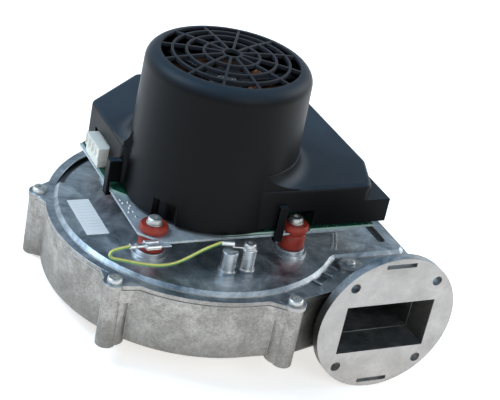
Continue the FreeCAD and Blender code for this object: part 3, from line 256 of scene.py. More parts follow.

# %% [markdown]
# ## Cast aluminium
#
# Die-cast aluminium is never one grey. The metal freezes in swirls, so the side walls are mottled
# with darker blotches, the raised edges wear bright, and a fine pimpled skin shows everywhere.
# Faces that look up were scuffed in transport, and their paler, cooler tint is a painted reflection
# of the sky. The walls are darker towards their foot, and the corner by the flange is darkened as
# painted shade. The round flange is machined, so it is paler and has faint turning rings about its
# own centre, and its rim is darkened as painted shade. The sides of what stands on the deck carry a
# painted highlight and are smoother. The groove at the deck's left is darkened as painted shade,
# and the dark pockets by the outlet are patches of painted shade. Masks for these places are made
# from a point's coordinates and its radius and bearing about the motor's axis.


# %% Cast aluminium
pad_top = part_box("grommet_1")[0][2] / MM
deck_top = pad_top - 2.0
flange_centre = (91.0 * MM, 0.0, 22.6 * MM)
flange_back = -103.6 * MM
flange_rim = 48.2 * MM
# Centre of the painted shade in the corner between the bowl and the flange.
shaded_corner_by_flange = (42.0 * MM, -94.0 * MM, 0.0)
turning_waves = 9000.0
# Where painted shade darkens the groove, and the two patches of painted shade by the outlet.
groove_radius, groove_bearing, groove_reach = 95.3 * MM, 134.0, 13.2
shade_patch_radius, shade_patch_bearings, shade_patch_reach = 94.6 * MM, (-57.0, -43.0), 1.7


def cast_metal(name, machined):
    """Cast aluminium. The lid is machined in places, and the bowl isn't."""
    f = Finish(name, metallic=1.0)
    swirl = f.noise(60.0, 8.0, 0.68, 0.5)
    scuff = f.noise(34.0, 9.0, 0.74, 1.4)
    speck = f.noise(420.0, 3.0, 0.6)
    grain = f.noise(1500.0, 2.0, 0.6)
    top = f.facing("z").step(0.30, 0.65)
    wall = f.shades(swirl * 0.45 + speck * 0.25 + grain * 0.3, (0.40, (0.24, 0.225, 0.203)),
                    (0.50, (0.37, 0.347, 0.317)), (0.60, (0.54, 0.51, 0.475)))
    # Shades for faces that look up: real scuffs, with a paler, bluer tint painted in as a
    # reflection of the sky.
    deck = f.shades(scuff * 0.6 + swirl * 0.4, (0.38, (0.20, 0.24, 0.27)),
                    (0.50, (0.44, 0.485, 0.52)), (0.61, (0.72, 0.77, 0.80)))
    # The walls are darker towards their foot.
    darker_foot = f.axis("z").step(32.0 * MM, 2.0 * MM) * (scuff + 0.35)
    # Painted shade in the corner between the bowl and the flange.
    corner = f.distance(shaded_corner_by_flange, (1.0, 1.0, 0.0)).step(21.0 * MM, 12.0 * MM)
    wall = f.mix(darker_foot * 0.6, wall, (0.15, 0.145, 0.13))
    wall = f.mix(corner * (scuff + 0.3), wall, (0.06, 0.058, 0.055))
    colour = f.mix(top, wall, deck)
    worn = f.edges(0.5 * MM)
    colour = f.mix(worn * 0.5, colour, (0.78, 0.79, 0.80))
    rough = 0.48 - top * 0.03 + (speck - 0.5) * 0.2 + (scuff - 0.5) * 0.45 - worn * 0.10
    if machined:
        x, y, z = f.axis("x"), f.axis("y"), f.axis("z")
        flange = y.step(flange_back, flange_back - 0.35 * MM)
        mist = f.noise(55.0, 5.0, 0.65, 0.3)
        lathed = f.shades(mist * 0.6 + speck * 0.2 + grain * 0.2, (0.38, (0.44, 0.42, 0.40)),
                          (0.51, (0.525, 0.50, 0.48)), (0.63, (0.61, 0.585, 0.555)))
        colour = f.mix(flange, colour, lathed)
        rough = rough + flange * 0.10
        radius = f.distance(flange_centre, (1.0, 0.0, 1.0))
        rings = (radius * turning_waves).sine() * flange
        # Painted shade on the flange's outer rim.
        rim = radius.step(flange_rim, flange_rim + 0.5 * MM)
        rim = rim * y.step(-90.0 * MM, -95.0 * MM) * (1 - flange)
        colour = f.mix(rim * 0.25, colour, (0.16, 0.16, 0.16))
        # Painted highlight on the sides of what stands on the deck, which are also smoother.
        post = z.step((deck_top - 0.1) * MM, (deck_top + 0.6) * MM)
        post = post * y.step(-88.0 * MM, -84.0 * MM) * (1 - top)
        colour = f.mix(post * 0.8, colour, (0.74, 0.75, 0.76))
        rough = rough - post * 0.16
        reach, bearing = (x * x + y * y) ** 0.5, y.math("ARCTAN2", y, x)
        # Painted shade in the groove at the deck's left and in patches by the outlet, where no
        # pocket is modelled.
        dark = (reach.near(groove_radius, 2.5 * MM, 0.5 * MM) * z.step(43.0 * MM, 44.0 * MM)
                * bearing.near(math.radians(groove_bearing), math.radians(groove_reach), 0.01))
        for degrees in shade_patch_bearings:
            dark = dark + (reach.near(shade_patch_radius, 1.6 * MM, 1.2 * MM) * top * 0.8
                           * bearing.near(math.radians(degrees), math.radians(shade_patch_reach),
                                          0.018))
        colour = f.mix(dark * 0.85, colour, (0.05, 0.055, 0.06))
        smooth = 1 - top * 0.9
        depths = [(speck * (1 - top), 0.10 * MM), (grain * (1 - flange) * smooth, 0.04 * MM),
                  (rings, 0.003 * MM)]
    else:
        depths = [(speck, 0.10 * MM), (grain, 0.05 * MM)]
    f.paint(colour, rough)
    f.relief(*depths, edge=0.6 * MM)
    return f.material


cast_bowl = cast_metal("cast aluminium, bowl", False)
cast_lid = cast_metal("cast aluminium, lid", True)
print("two cast finishes")

# %% [markdown]
# ## Black plastic
#
# The cover is moulded in a tool with a fine spark-eroded texture, so it is matt. A soft sheen of
# the sky on its top is painted into its colour, strongest on the skirt's slopes. Handling leaves
# faint dusty patches and slightly polished edges. The bars of the grille are a little greyer.


# %% Black plastic
# The skirt's slopes, where the painted sheen is strongest, and the grille's bars.
skirt_foot = (83.0 * MM, 89.0 * MM)
skirt_top = (108.0 * MM, 97.0 * MM)
grille_rim = (46.0 * MM, 43.5 * MM)
grille_low = (150.0 * MM, 154.0 * MM)


def moulded_black():
    f = Finish("moulded black plastic", gloss=0.15)
    grain = f.noise(2600.0, 2.0, 0.5)
    pores = f.cells(1500.0)
    dust_and_sheen = f.noise(26.0, 5.0, 0.65)
    worn = f.edges(0.8 * MM)
    x, y, z = f.axis("x"), f.axis("y"), f.axis("z")
    top = f.facing("z").step(0.1, 1.0)
    colour = f.mix(dust_and_sheen.step(0.5, 0.85) * 0.5, (0.0010, 0.0012, 0.0016), (0.003, 0.0045, 0.0065))
    # Painted sheen of the sky: faces that look up are bluer, most of all on the skirt's slopes.
    skirt = z.step(*skirt_top) * z.step(*skirt_foot)
    painted_sheen = f.mix(dust_and_sheen.step(0.3, 0.7), (0.034, 0.060, 0.088), (0.052, 0.086, 0.122))
    colour = f.mix(top * 0.6, colour, f.mix(skirt, (0.040, 0.060, 0.082), painted_sheen))
    colour = f.mix(worn * 0.4, colour, (0.020, 0.026, 0.034))
    bars = ((x * x + y * y) ** 0.5).step(*grille_rim) * z.step(*grille_low)
    colour = f.mix(bars, colour, (0.030, 0.034, 0.042))
    f.paint(colour, 0.40 + (dust_and_sheen - 0.5) * 0.16 + top * 0.03 - worn * 0.05)
    f.relief((grain, 0.05 * MM), (pores, 0.03 * MM), edge=0.8 * MM)
    return f.material


black = moulded_black()
print("black plastic")

# %% [markdown]
# ## Zinc, sheet steel and tin
#
# Screws and sleeves are zinc plated: bright, a little uneven, with a warm bloom. The motor plate
# is rolled sheet, so its scratches run one way. The earth terminals are tinned and softer in
# their reflections. The shaft and the bearings are ground. The bracket under the grille is steel
# sheet darkened to nearly black as painted shade.


# %% Plated metals
def plated(name, light, dark, rough, streak=None, metallic=1.0):
    """Bare or plated metal. Where streak is given, its scratches run one way."""
    f = Finish(name, metallic=metallic)
    bloom = f.noise(160.0, 4.0, 0.6)
    fine = f.noise(1400.0, 2.0, 0.5)
    worn = f.edges(0.3 * MM)
    colour = f.shades(bloom, (0.35, dark), (0.65, light))
    colour = f.mix(worn * 0.5, colour, (0.88, 0.88, 0.86))
    value = rough + (bloom - 0.5) * 0.2
    if streak:
        lines = f.noise(90.0, 3.0, 0.7, place=f.stretch(streak))
        f.paint(colour, value + (lines - 0.5) * 0.25)
        f.relief((lines, 0.01 * MM), edge=0.25 * MM)
    else:
        f.paint(colour, value)
        f.relief((fine, 0.015 * MM), edge=0.25 * MM)
    return f.material


zinc = plated("zinc plating", (0.80, 0.80, 0.77), (0.56, 0.56, 0.54), 0.46)
sheet = plated("rolled steel sheet", (0.60, 0.66, 0.70), (0.44, 0.50, 0.54), 0.46,
               (1.0, 14.0, 14.0), metallic=0.55)
tin = plated("tinned brass", (0.93, 0.93, 0.91), (0.74, 0.74, 0.72), 0.36)
ground = plated("ground steel", (0.72, 0.72, 0.72), (0.58, 0.58, 0.58), 0.22, (40.0, 40.0, 1.0))
blade_metal = plated("spun aluminium", (0.74, 0.75, 0.76), (0.60, 0.61, 0.62), 0.34)
# The bracket under the grille: steel sheet darkened to nearly black as painted shade.
shaded_sheet = plated("steel sheet in painted shade", (0.13, 0.14, 0.15), (0.07, 0.075, 0.08), 0.5)
print("six plated finishes")

# %% [markdown]
# ## Rubber, board, label and the rest
#
# Silicone rubber is dull and slightly cloudy. The circuit board has a glassy green lacquer over
# copper tracks, with dots of solder. The label is white film with plain grey rules.


# %% Rubber and dark parts
def dull(name, base, other, rough, scale=300.0, bump=0.04):
    """A dull finish in two shades, with a fine grain of this depth in millimetres."""
    f = Finish(name, gloss=0.4)
    cloud = f.noise(scale * 0.3, 4.0, 0.6)
    fine = f.noise(scale * 5.0, 2.0, 0.5)
    worn = f.edges(0.5 * MM)
    colour = f.mix(cloud.step(0.35, 0.7), base, other)
    colour = f.mix(worn * 0.3, colour, tuple(min(1.0, c * 1.6) for c in other))
    f.paint(colour, rough + (cloud - 0.5) * 0.2)
    f.relief((fine, bump * MM), edge=0.4 * MM)
    return f.material


red_rubber = dull("brick red silicone", (0.27, 0.022, 0.012), (0.41, 0.048, 0.026), 0.42)
dark_rubber = dull("black rubber", (0.007, 0.007, 0.007), (0.016, 0.016, 0.015), 0.6)
ivory = dull("ivory plastic", (0.78, 0.76, 0.68), (0.88, 0.85, 0.76), 0.42, 220.0, 0.02)
iron = dull("lacquered core steel", (0.045, 0.045, 0.048), (0.09, 0.09, 0.095), 0.45)
print("rubber, ivory and iron")


# %% Label
label_x, label_y = -76.0, 6.5
rule_spacing = 3.4
ruled_half_width, ruled_half_length = 5.6, 15.3


def ruled_film():
    """White film with plain grey rules across it."""
    f = Finish("ruled label film", roughness=0.38, gloss=0.4)
    in_millimetres = f.stretch((1000.0, 1000.0, 1000.0), shift=(-label_x, -label_y, 0.0))
    across, along = f.axis("x", in_millimetres), f.axis("y", in_millimetres)
    row = along / rule_spacing
    row = row.math("FRACT", row).near(0.5, 0.05, 0.03)
    inside = across.near(0.0, ruled_half_width, 0.1) * along.near(0.0, ruled_half_length, 0.1)
    tone = f.noise(60.0, 3.0, 0.6)
    film = f.mix(tone.step(0.35, 0.7), (0.93, 0.92, 0.89), (0.99, 0.97, 0.95))
    f.paint(f.mix(row * inside * 0.32, film, (0.30, 0.31, 0.33)), 0.38 + (tone - 0.5) * 0.2)
    f.relief((tone, 0.02 * MM))
    return f.material


white_film = ruled_film()
print("label film")


# %% Board lacquer
def lacquered_board():
    f = Finish("green board lacquer", gloss=0.6)
    edge = f.facing("z").size().step(0.6, 0.3)
    tracks = f.cells(210.0, "DISTANCE_TO_EDGE").step(0.10, 0.05)
    dots = f.cells(330.0).step(0.30, 0.20) * (f.cells(330.0, out="Color") > 0.55)
    colour = f.mix(tracks, (0.010, 0.085, 0.050), (0.020, 0.150, 0.080))
    colour = f.mix(edge, colour, (0.35, 0.50, 0.44))
    colour = f.mix(dots * (1 - edge), colour, (0.72, 0.72, 0.70))
    f.paint(colour, 0.28 + dots * 0.1, dots * (1 - edge))
    f.relief((tracks + dots * 2.0, 0.05 * MM))
    return f.material


board_green = lacquered_board()
print("board lacquer")


# %% Copper windings
strand_waves = 5200.0


def wound_copper():
    f = Finish("enamelled copper", metallic=0.75, coat=0.4)
    x, y, z = f.axis("x"), f.axis("y"), f.axis("z")
    radius = (x * x + y * y) ** 0.5
    top = f.facing("z").size().step(0.4, 0.7)
    strands = (radius * strand_waves).sine() * top + (z * strand_waves).sine() * (1 - top)
    tone = f.noise(120.0, 4.0, 0.6)
    # The enamel's own brown, darkened further as painted shade inside the cover.
    colour = f.shades(tone + strands * 0.08, (0.3, (0.08, 0.030, 0.013)),
                      (0.55, (0.22, 0.080, 0.032)), (0.8, (0.36, 0.15, 0.062)))
    f.paint(colour, 0.35 + (tone - 0.5) * 0.2)
    f.relief((strands, 0.25 * MM))
    return f.material


copper = wound_copper()
print("copper")

# %% [markdown]
# ## Which solid gets which finish
#
# Every solid keeps its own shape here. One table maps the slots of the record to finishes, so a
# new screw gets its zinc without another line. Two solids have a finish of their own.

# %% Give the solids their finishes
finish_of = {
    "cast_aluminium": cast_lid, "gasket_sheet": dark_rubber, "zinc_steel": zinc,
    "sheet_steel": sheet, "board_laminate": board_green, "connector_plastic": ivory,
    "bearing_steel": ground, "seal_rubber": dark_rubber, "core_steel": iron,
    "copper_wire": copper, "impeller_aluminium": blade_metal, "black_plastic": black,
    "tinned_brass": tin, "mount_rubber": red_rubber, "lead_insulation": dark_rubber,
    "label_film": white_film,
}
own_finish = {"lower_housing": cast_bowl, "end_bracket": shaded_sheet}
for entry in frame["record"]["subparts"]:
    solid = nodes[entry["node"]]
    finish = own_finish.get(entry["node"], finish_of[entry["material_slot"]])
    solid.data.materials.clear()
    solid.data.materials.append(finish)
print(len(finish_of), "slots finished")

# %% [markdown]
# ## Making a piece
#
# The solid model's screws are plain turned forms. A close look wants a drive recess, a washer and
# softened corners. Such a piece is built in a bmesh and then stands for the solid, at the same
# place. Only true corners stay sharp, so turned faces look round. Sizes are in millimetres here.


# %% From a bmesh to a piece
def piece(name, bm, finish, slot, *stands_for, sharp=35.0):
    """Makes an object of a bmesh, which stands for the solids that are named."""
    bmesh.ops.remove_doubles(bm, verts=bm.verts, dist=1e-6)
    bmesh.ops.recalc_face_normals(bm, faces=bm.faces)
    mesh = bpy.data.meshes.new(name)
    bm.to_mesh(mesh)
    bm.free()
    mesh.shade_smooth()
    mesh.set_sharp_from_angle(angle=math.radians(sharp))
    mesh.materials.append(finish)
    shown = bpy.data.objects.new(name, mesh)
    bpy.context.scene.collection.objects.link(shown)
    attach(shown, "housing")
    if stands_for:
        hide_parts(*stands_for)


def turned(profile, steps=48):
    """A form turned about Z from pairs of radius and height in millimetres."""
    bm = bmesh.new()
    corners = [bm.verts.new((radius * MM, 0.0, height * MM)) for radius, height in profile]
    lines = [bm.edges.new(pair) for pair in zip(corners, corners[1:])]
    bmesh.ops.spin(bm, geom=corners + lines, cent=(0, 0, 0), axis=(0, 0, 1), angle=math.tau,
                   steps=steps, use_merge=True)
    bmesh.ops.remove_doubles(bm, verts=bm.verts, dist=1e-6)
    return bm


def only(kind, parts):
    """The vertices, or the edges, among what an operator gives back."""
    return [part for part in parts if isinstance(part, kind)]


def each_once(parts):
    """The parts in their order, without repeats."""
    return list(dict.fromkeys(parts))


def prism(bm, outline, height):
    """Adds a prism, from the corners of its foot and its height."""
    base = bm.faces.new([bm.verts.new(Vector(corner) * MM) for corner in outline])
    raised = bmesh.ops.extrude_face_region(bm, geom=[base])["geom"]
    bmesh.ops.translate(bm, vec=(0, 0, height * MM), verts=only(bmesh.types.BMVert, raised))


def placed(bm, x, y, z):
    """The same bmesh, moved."""
    bmesh.ops.translate(bm, vec=Vector((x, y, z)) * MM, verts=bm.verts)
    return bm


def turned_about_z(bm, degrees, verts):
    """Turns these vertices about the motor's axis."""
    bmesh.ops.rotate(bm, cent=(0, 0, 0), verts=verts,
                     matrix=Matrix.Rotation(math.radians(degrees), 3, "Z"))


def join(whole, part):
    """Moves one bmesh into another."""
    mesh = bpy.data.meshes.new("part")
    part.to_mesh(mesh)
    part.free()
    whole.from_mesh(mesh)
    bpy.data.meshes.remove(mesh)


def top_middle(node):
    """The middle of the top of a solid's box, in millimetres."""
    low, high = (Vector(corner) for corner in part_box(node))
    middle = (low + high) / (2 * MM)
    return Vector((middle.x, middle.y, high.z / MM))


print("piece helpers ready")

# %% [markdown]
# ## Screws
#
# The heads have a six-lobed recess. The profile is spun to the rim of the recess, the rim is drawn
# in to a star, and the star is pushed down. The long screws through the rubber mounts carry a flat
# washer, which spreads their load on the steel sleeve.


# %% Screws with a six-lobed recess
lobe_height = 0.14


def lobed(corner, size):
    """Moves a corner to the outline of a six-lobed recess of this size."""
    angle = math.atan2(corner.co.y, corner.co.x)
    reach = size * (1 + lobe_height * math.cos(6 * angle)) * MM
    corner.co.x = reach * math.cos(angle)
    corner.co.y = reach * math.sin(angle)


def driven_screw(node, head, height, shank, length, recess, washer=None, lift=0.0):
    """A screw from the radii of its head, shank, recess and washer. Lift raises it."""
    foot = [(0.0, -length), (shank - 0.4, -length), (shank, -length + 0.4), (shank, 0.0)]
    base = 0.0
    if washer:
        foot += [(washer - 0.15, 0.0), (washer, 0.15), (washer, 0.85), (washer - 0.15, 1.0),
                 (head + 0.3, 1.0)]
        base = 1.0
    bm = turned(foot + [
        (head - 0.25, base), (head, base + 0.25), (head, base + (height - base) * 0.5),
        (head * 0.95, base + (height - base) * 0.8), (head * 0.80, height - 0.06),
        (recess * 1.35, height),
    ])
    rim = [edge for edge in bm.edges if edge.is_boundary]
    star = bmesh.ops.extrude_edge_only(bm, edges=rim)["geom"]
    for corner in only(bmesh.types.BMVert, star):
        lobed(corner, recess)
    pit = bmesh.ops.extrude_edge_only(bm, edges=only(bmesh.types.BMEdge, star))["geom"]
    depth = 0.45 * (height - base)
    bmesh.ops.translate(bm, vec=(0, 0, -depth * MM), verts=only(bmesh.types.BMVert, pit))
    bmesh.ops.contextual_create(bm, geom=only(bmesh.types.BMEdge, pit))
    seat = top_middle(node) - Vector((0, 0, height - lift))
    piece(node + "_shown", placed(bm, *seat), zinc, "zinc_steel", node)


for letter in "abcef":
    driven_screw(f"housing_screw_{letter}", head=4.7, height=3.2, shank=2.4, length=16.0,
                 recess=1.9)
for number in (1, 2, 3, 4):
    driven_screw(f"mount_screw_{number}", head=4.5, height=4.2, shank=2.4, length=24.0,
                 recess=1.8, washer=5.2, lift=1.0)
driven_screw("duct_plug", head=3.35, height=1.6, shank=2.4, length=3.6, recess=1.3)
driven_screw("earth_screw", head=3.85, height=2.6, shank=1.9, length=9.0, recess=1.4)
print("eleven screws")

# %% [markdown]
# ## Flanks, posts and pads
#
# Where a boss stands out of the scroll, the wall runs up to it in a sloping flank on each side.
# The boss by the outlet has a flank on one side only. The flanks are prisms, one for the bowl, one
# for the lid and a narrower dark one for the joint between them. The two posts get a rounded foot,
# and each rubber mount stands on a small raised pad.


# %% Flanks beside the bosses
flank_sink, flank_tip = 2.5, 2.0
half_foot, half_tip = 16.0, 6.0


def flank(bm, centre, radius, proud, degrees, one_side, low, high, inset):
    """Adds the flanks of one boss, as one prism between two heights."""
    turn = math.radians(degrees)
    out = Vector((math.cos(turn), math.sin(turn), 0.0))
    along = Vector((-out.y, out.x, 0.0))
    foot = radius - flank_sink
    tip = radius + proud + flank_tip - inset
    last = half_tip if one_side else half_foot - inset
    corners = ((foot, inset - half_foot), (tip, inset - half_tip), (tip, half_tip - inset),
               (foot, last))
    prism(bm, [Vector((*centre, low)) + out * far + along * side for far, side in corners],
          high - low)


# For each boss: the centre and radius of the wall's arc, how far the boss stands proud of it, its
# bearing in degrees, and whether it has a flank on one side only.
bosses = (
    ((1.5, 4.0), 101.0, 5.0, 218.5, False),
    ((1.5, 4.0), 101.0, 6.0, 281.05, True),
    ((10.5, 4.0), 110.0, 4.0, 158.4, False),
    ((10.5, 4.0), 110.0, 2.7, 93.3, False),
    ((10.5, -2.5), 116.5, 1.9, 24.2, False),
)
for name, finish, slot, low, high, inset in (
        ("bowl_flanks", cast_bowl, "cast_aluminium", 32.0, 40.98, 0.0),
        ("lid_flanks", cast_lid, "cast_aluminium", 41.52, 44.18, 0.0),
        ("joint_flanks", dark_rubber, "gasket_sheet", 40.8, 41.7, 0.35)):
    flanks = bmesh.new()
    for boss in bosses:
        flank(flanks, *boss, low, high, inset)
    piece(name, flanks, finish, slot, sharp=10.0)
print("flanks beside", len(bosses), "bosses")


# %% Posts
foot_curve = [(6.5, 0.0), (5.9, 0.16), (5.4, 0.6), (5.12, 1.3), (5.05, 2.0)]
short_top = [(5.05, 13.3), (4.6, 13.8), (0.0, 13.8)]
earth_top = [(5.05, 14.6), (4.7, 14.95)]
short_post_x, earth_post_x, posts_y = -8.7, 4.0, -64.0
piece("short_post_shown", placed(turned(foot_curve + short_top), short_post_x, posts_y, deck_top),
      cast_lid, "cast_aluminium")
piece("earth_post_shown", placed(turned(foot_curve + earth_top), earth_post_x, posts_y, deck_top),
      cast_lid, "cast_aluminium")
print("two posts")

# %% Raised pads and rubber mounts
pad_rise = 2.5
seat = pad_top + pad_rise
plate_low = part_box("motor_plate")[0][2] / MM
under = plate_low - 0.1
for number in (1, 2, 3, 4):
    low, high = (Vector(corner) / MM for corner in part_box(f"grommet_{number}"))
    x, y = (low.x + high.x) / 2, (low.y + high.y) / 2
    pad_outline = [(9.3, -0.1), (9.3, pad_rise - 0.4), (8.9, pad_rise), (5.0, pad_rise)]
    piece(f"mount_pad_{number}", placed(turned(pad_outline), x, y, pad_top),
          cast_lid, "cast_aluminium")
    over = high.z - 4.6
    outline = [(4.4, seat), (7.6, seat), (8.4, seat + 0.8), (8.4, under - 1.0), (7.5, under),
               (7.15, under), (7.15, over), (8.2, over), (9.1, over + 0.8), (9.1, high.z - 1.4),
               (8.0, high.z - 0.05), (4.4, high.z - 0.05)]
    piece(f"grommet_{number}_shown", placed(turned(outline), x, y, 0.0),
          red_rubber, "mount_rubber", f"grommet_{number}", sharp=50.0)
print("four pads and four grommets")

# %% [markdown]
# ## Shade wall and board
#
# The cover's opening over the left mount is dark: a black wall stands behind it as painted shade,
# with small upright fins in front of it. Wall and fins are arcs about the motor's axis, drawn out
# upwards. The board's front left corner is cut away by one straight cut, so that the plate is bare
# there.

# %% Black wall behind the front opening, as painted shade
board_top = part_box("circuit_board")[1][2] / MM
shade_wall_bearing = 225
fin_radii, fin_height = (51.4, 52.6), 10.0
shade_wall = bmesh.new()
# The first arc is the black wall put there as painted shade; the other three are fins.
for radii, first, last, height in (((50.4, 51.4), -19, 19, 14.5), (fin_radii, -9, -7, fin_height),
                                   (fin_radii, -1, 1, fin_height), (fin_radii, 7, 9, fin_height)):
    steps = max(2, (last - first) // 2)
    turns = [math.radians(shade_wall_bearing + first + (last - first) * i / steps)
             for i in range(steps + 1)]
    prism(shade_wall, [(radius * math.cos(turn), radius * math.sin(turn), board_top + 0.1)
                   for radius, line in zip(radii, (turns, turns[::-1])) for turn in line], height)
piece("shade_wall_shown", shade_wall, black, "black_plastic")
print("shield with three fins")

# %% Board with its front left corner cut away
cut_start, cut_end = Vector((-61.3, 8.0, 0.0)), Vector((-6.0, -53.3, 0.0))
board = nodes["circuit_board"]
board_bm = bmesh.new()
board_bm.from_mesh(board.data)
bmesh.ops.transform(board_bm, matrix=board.matrix_world, verts=board_bm.verts)
bmesh.ops.remove_doubles(board_bm, verts=board_bm.verts, dist=1e-6)
outward = (cut_end - cut_start).cross(Vector((0, 0, 1)))
bmesh.ops.bisect_plane(board_bm, geom=board_bm.verts[:] + board_bm.edges[:] + board_bm.faces[:],
                       plane_co=cut_start * MM, plane_no=outward, clear_outer=True)
bmesh.ops.holes_fill(board_bm, edges=[line for line in board_bm.edges if line.is_boundary])
piece("circuit_board_shown", board_bm, board_green, "board_laminate", "circuit_board")
print("board cut")

# %% [markdown]
# ## Coils
#
# Seen through the grille, the stator is nine coils of enamelled wire, one on each tooth. Each
# is a rounded block whose turns run side by side, so its faces are ridged. The blocks taper
# towards the shaft, because the teeth do.


# %% Nine coils, above and below the core
coil_outside, width_outside = 39.9, 22.6
coil_inside, width_inside = 26.0, 14.6
coil_heights = ((76.3, 91.7), (128.3, 143.7))
coil_rounding = 3.6
coil_count, first_bearing = 9, 20


def coil_block(bm, degrees, low, high):
    """Adds one rounded block between two heights, on the tooth at this bearing."""
    made = bmesh.ops.create_cube(bm, size=1.0)["verts"]
    for corner in made:
        outer = corner.co.x > 0
        corner.co.x = (coil_outside if outer else coil_inside) * MM
        corner.co.y *= (width_outside if outer else width_inside) * MM
        corner.co.z = (high if corner.co.z > 0 else low) * MM
    lines = each_once(line for corner in made for line in corner.link_edges)
    soft = bmesh.ops.bevel(bm, geom=lines, offset=coil_rounding * MM, offset_type="OFFSET",
                           segments=5, profile=0.5, affect="EDGES", clamp_overlap=True,
                           material=-1)
    turned_about_z(bm, degrees, each_once(v for face in soft["faces"] for v in face.verts))


coils = bmesh.new()
for index in range(coil_count):
    for low, high in coil_heights:
        coil_block(coils, first_bearing + index * 360 / coil_count, low, high)
piece("coils_shown", coils, copper, "copper_wire", "stator_windings")
print("nine coils with two heads each")

# %% [markdown]
# ## Connector
#
# The connector on the board's edge is two mouldings: a narrow header soldered to the board, and a
# wider plug pushed down over it. Each is a block with rounded edges. The plug's outer side is cut
# into four strips, which are inset and pushed in to make its windows.


# %% Connector
def soft_block(bm, low, high, edge):
    """Adds a block between two corners, with rounded edges."""
    made = bmesh.ops.create_cube(bm, size=1.0)["verts"]
    bmesh.ops.scale(bm, vec=(high - low) * MM, verts=made)
    bmesh.ops.translate(bm, vec=(low + high) / 2 * MM, verts=made)
    lines = each_once(line for corner in made for line in corner.link_edges)
    bmesh.ops.bevel(bm, geom=lines, offset=edge * MM, offset_type="OFFSET", segments=3,
                    profile=0.5, affect="EDGES", clamp_overlap=True, material=-1)


low, high = (Vector(corner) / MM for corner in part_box("signal_connector"))
header_height = 5.4
window_frame, window_depth = 1.4, 1.3
seam = low.z + header_height
plug_bm = bmesh.new()
soft_block(plug_bm, Vector((low.x, low.y, seam)), high, 0.5)
side = min(plug_bm.faces, key=lambda face: (round(face.calc_center_median().x, 6),
                                            -face.calc_area()))
rows = [line for line in side.edges if abs(line.verts[0].co.z - line.verts[1].co.z) < 1e-6]
bmesh.ops.subdivide_edges(plug_bm, edges=rows, cuts=3, use_grid_fill=True)
strips = [face for face in plug_bm.faces
          if face.normal.x < -0.99 and face.calc_area() > 10 * MM * MM]
bmesh.ops.inset_individual(plug_bm, faces=strips, thickness=window_frame * MM)
bmesh.ops.translate(plug_bm, vec=(window_depth * MM, 0, 0),
                    verts=each_once(corner for face in strips for corner in face.verts))
soft_block(plug_bm, low + Vector((0.8, 0.9, 0.0)),
           Vector((high.x - 0.6, high.y - 0.9, seam + 0.5)), 0.3)
piece("connector_shown", plug_bm, ivory, "connector_plastic", "signal_connector")
print("connector with", len(strips), "windows")

# %% [markdown]
# ## Ribs
#
# Four small ribs stand on the lid's rim, between the ridge and the outlet. They point at the
# motor's axis, so each is made on the X axis and turned to its bearing.

# %% Ribs between the ridge and the outlet
rim_top = 44.2
rib_inside, rib_outside, rib_half = 91.8, 98.2, 0.8
ribs = bmesh.new()
for degrees in (-61.0, -53.0, -47.0, -39.5):
    rib = bmesh.new()
    soft_block(rib, Vector((rib_inside, -rib_half, rim_top - 0.3)),
               Vector((rib_outside, rib_half, rim_top + 1.2)), 0.5)
    turned_about_z(rib, degrees, rib.verts)
    join(ribs, rib)
piece("outlet_ribs", ribs, cast_lid, "cast_aluminium")
print("four ribs")

# %% [markdown]
# ## Solder points
#
# Small bright domes of solder show on the bare front corner of the plate. Each is a short turned
# form in its own place.

# %% Solder points
plate_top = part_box("motor_plate")[1][2] / MM
solder = bmesh.new()
dome = [(0.95, 0.0), (0.85, 0.3), (0.5, 0.6), (0.0, 0.7)]
for x, y in ((-59.8, -2.8), (-59.5, -6.9), (-55.9, -6.4), (-55.6, -10.4), (-57.4, -13.2),
             (-56.3, -17.6), (-59.3, -17.9), (-56.6, -23.4)):
    join(solder, placed(turned(dome, steps=14), x, y, plate_top))
piece("solder_points", solder, tin, "tinned_brass")
print("eight solder points")

# %% [markdown]
# ## Earth receptacle
#
# The push-on receptacle is folded from thin tinned brass: a flat bed, two edges rolled over the
# tab, and a barrel crimped twice, once on the wire and once on its insulation.


# %% Earth receptacle
def rod_along_x(bm, start, end, y, z, radius, waist):
    """Adds a round bar between two x values. Its middle is flattened to this part of its height."""
    turn = Matrix.Rotation(math.radians(90), 4, "Y")
    place = Matrix.Translation(Vector(((start + end) / 2, y, z)) * MM)
    made = bmesh.ops.create_cone(bm, cap_ends=True, segments=20, radius1=radius * MM,
                                 radius2=radius * MM, depth=(end - start) * MM,
                                 matrix=place @ turn)["verts"]
    lines = [line for line in bm.edges if line.verts[0] in made and line.verts[1] in made
             and abs(line.verts[0].co.x - line.verts[1].co.x) > 0.5 * (end - start) * MM]
    cut = bmesh.ops.subdivide_edges(bm, edges=lines, cuts=3)["geom_inner"]
    for corner in only(bmesh.types.BMVert, cut):
        offset = (corner.co.x / MM - (start + end) / 2) / (end - start)
        factor = 1 - (1 - waist) * (1 - (2 * offset) ** 2)
        corner.co.z = z * MM + (corner.co.z - z * MM) * factor


low, high = (Vector(corner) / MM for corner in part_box("earth_receptacle"))
middle = (low + high) / 2
fold = bmesh.new()
bed_size = Vector((9.0, 7.6, 1.5))
bed = bmesh.ops.create_cube(fold, size=1.0)["verts"]
bmesh.ops.scale(fold, vec=bed_size * MM, verts=bed)
bmesh.ops.translate(fold, vec=Vector((high.x - 4.6, middle.y, middle.z - 0.5)) * MM, verts=bed)
for side in (-1, 1):
    rod_along_x(fold, high.x - 9.2, high.x - 0.1, middle.y + side * 2.6, middle.z + 0.2,
                radius=1.5, waist=0.86)
rod_along_x(fold, low.x, low.x + 3.6, middle.y, middle.z, radius=1.85, waist=0.72)
rod_along_x(fold, low.x + 4.2, high.x - 9.0, middle.y, middle.z, radius=1.7, waist=0.66)
piece("earth_receptacle_shown", fold, tin, "tinned_brass", "earth_receptacle")
print("receptacle")

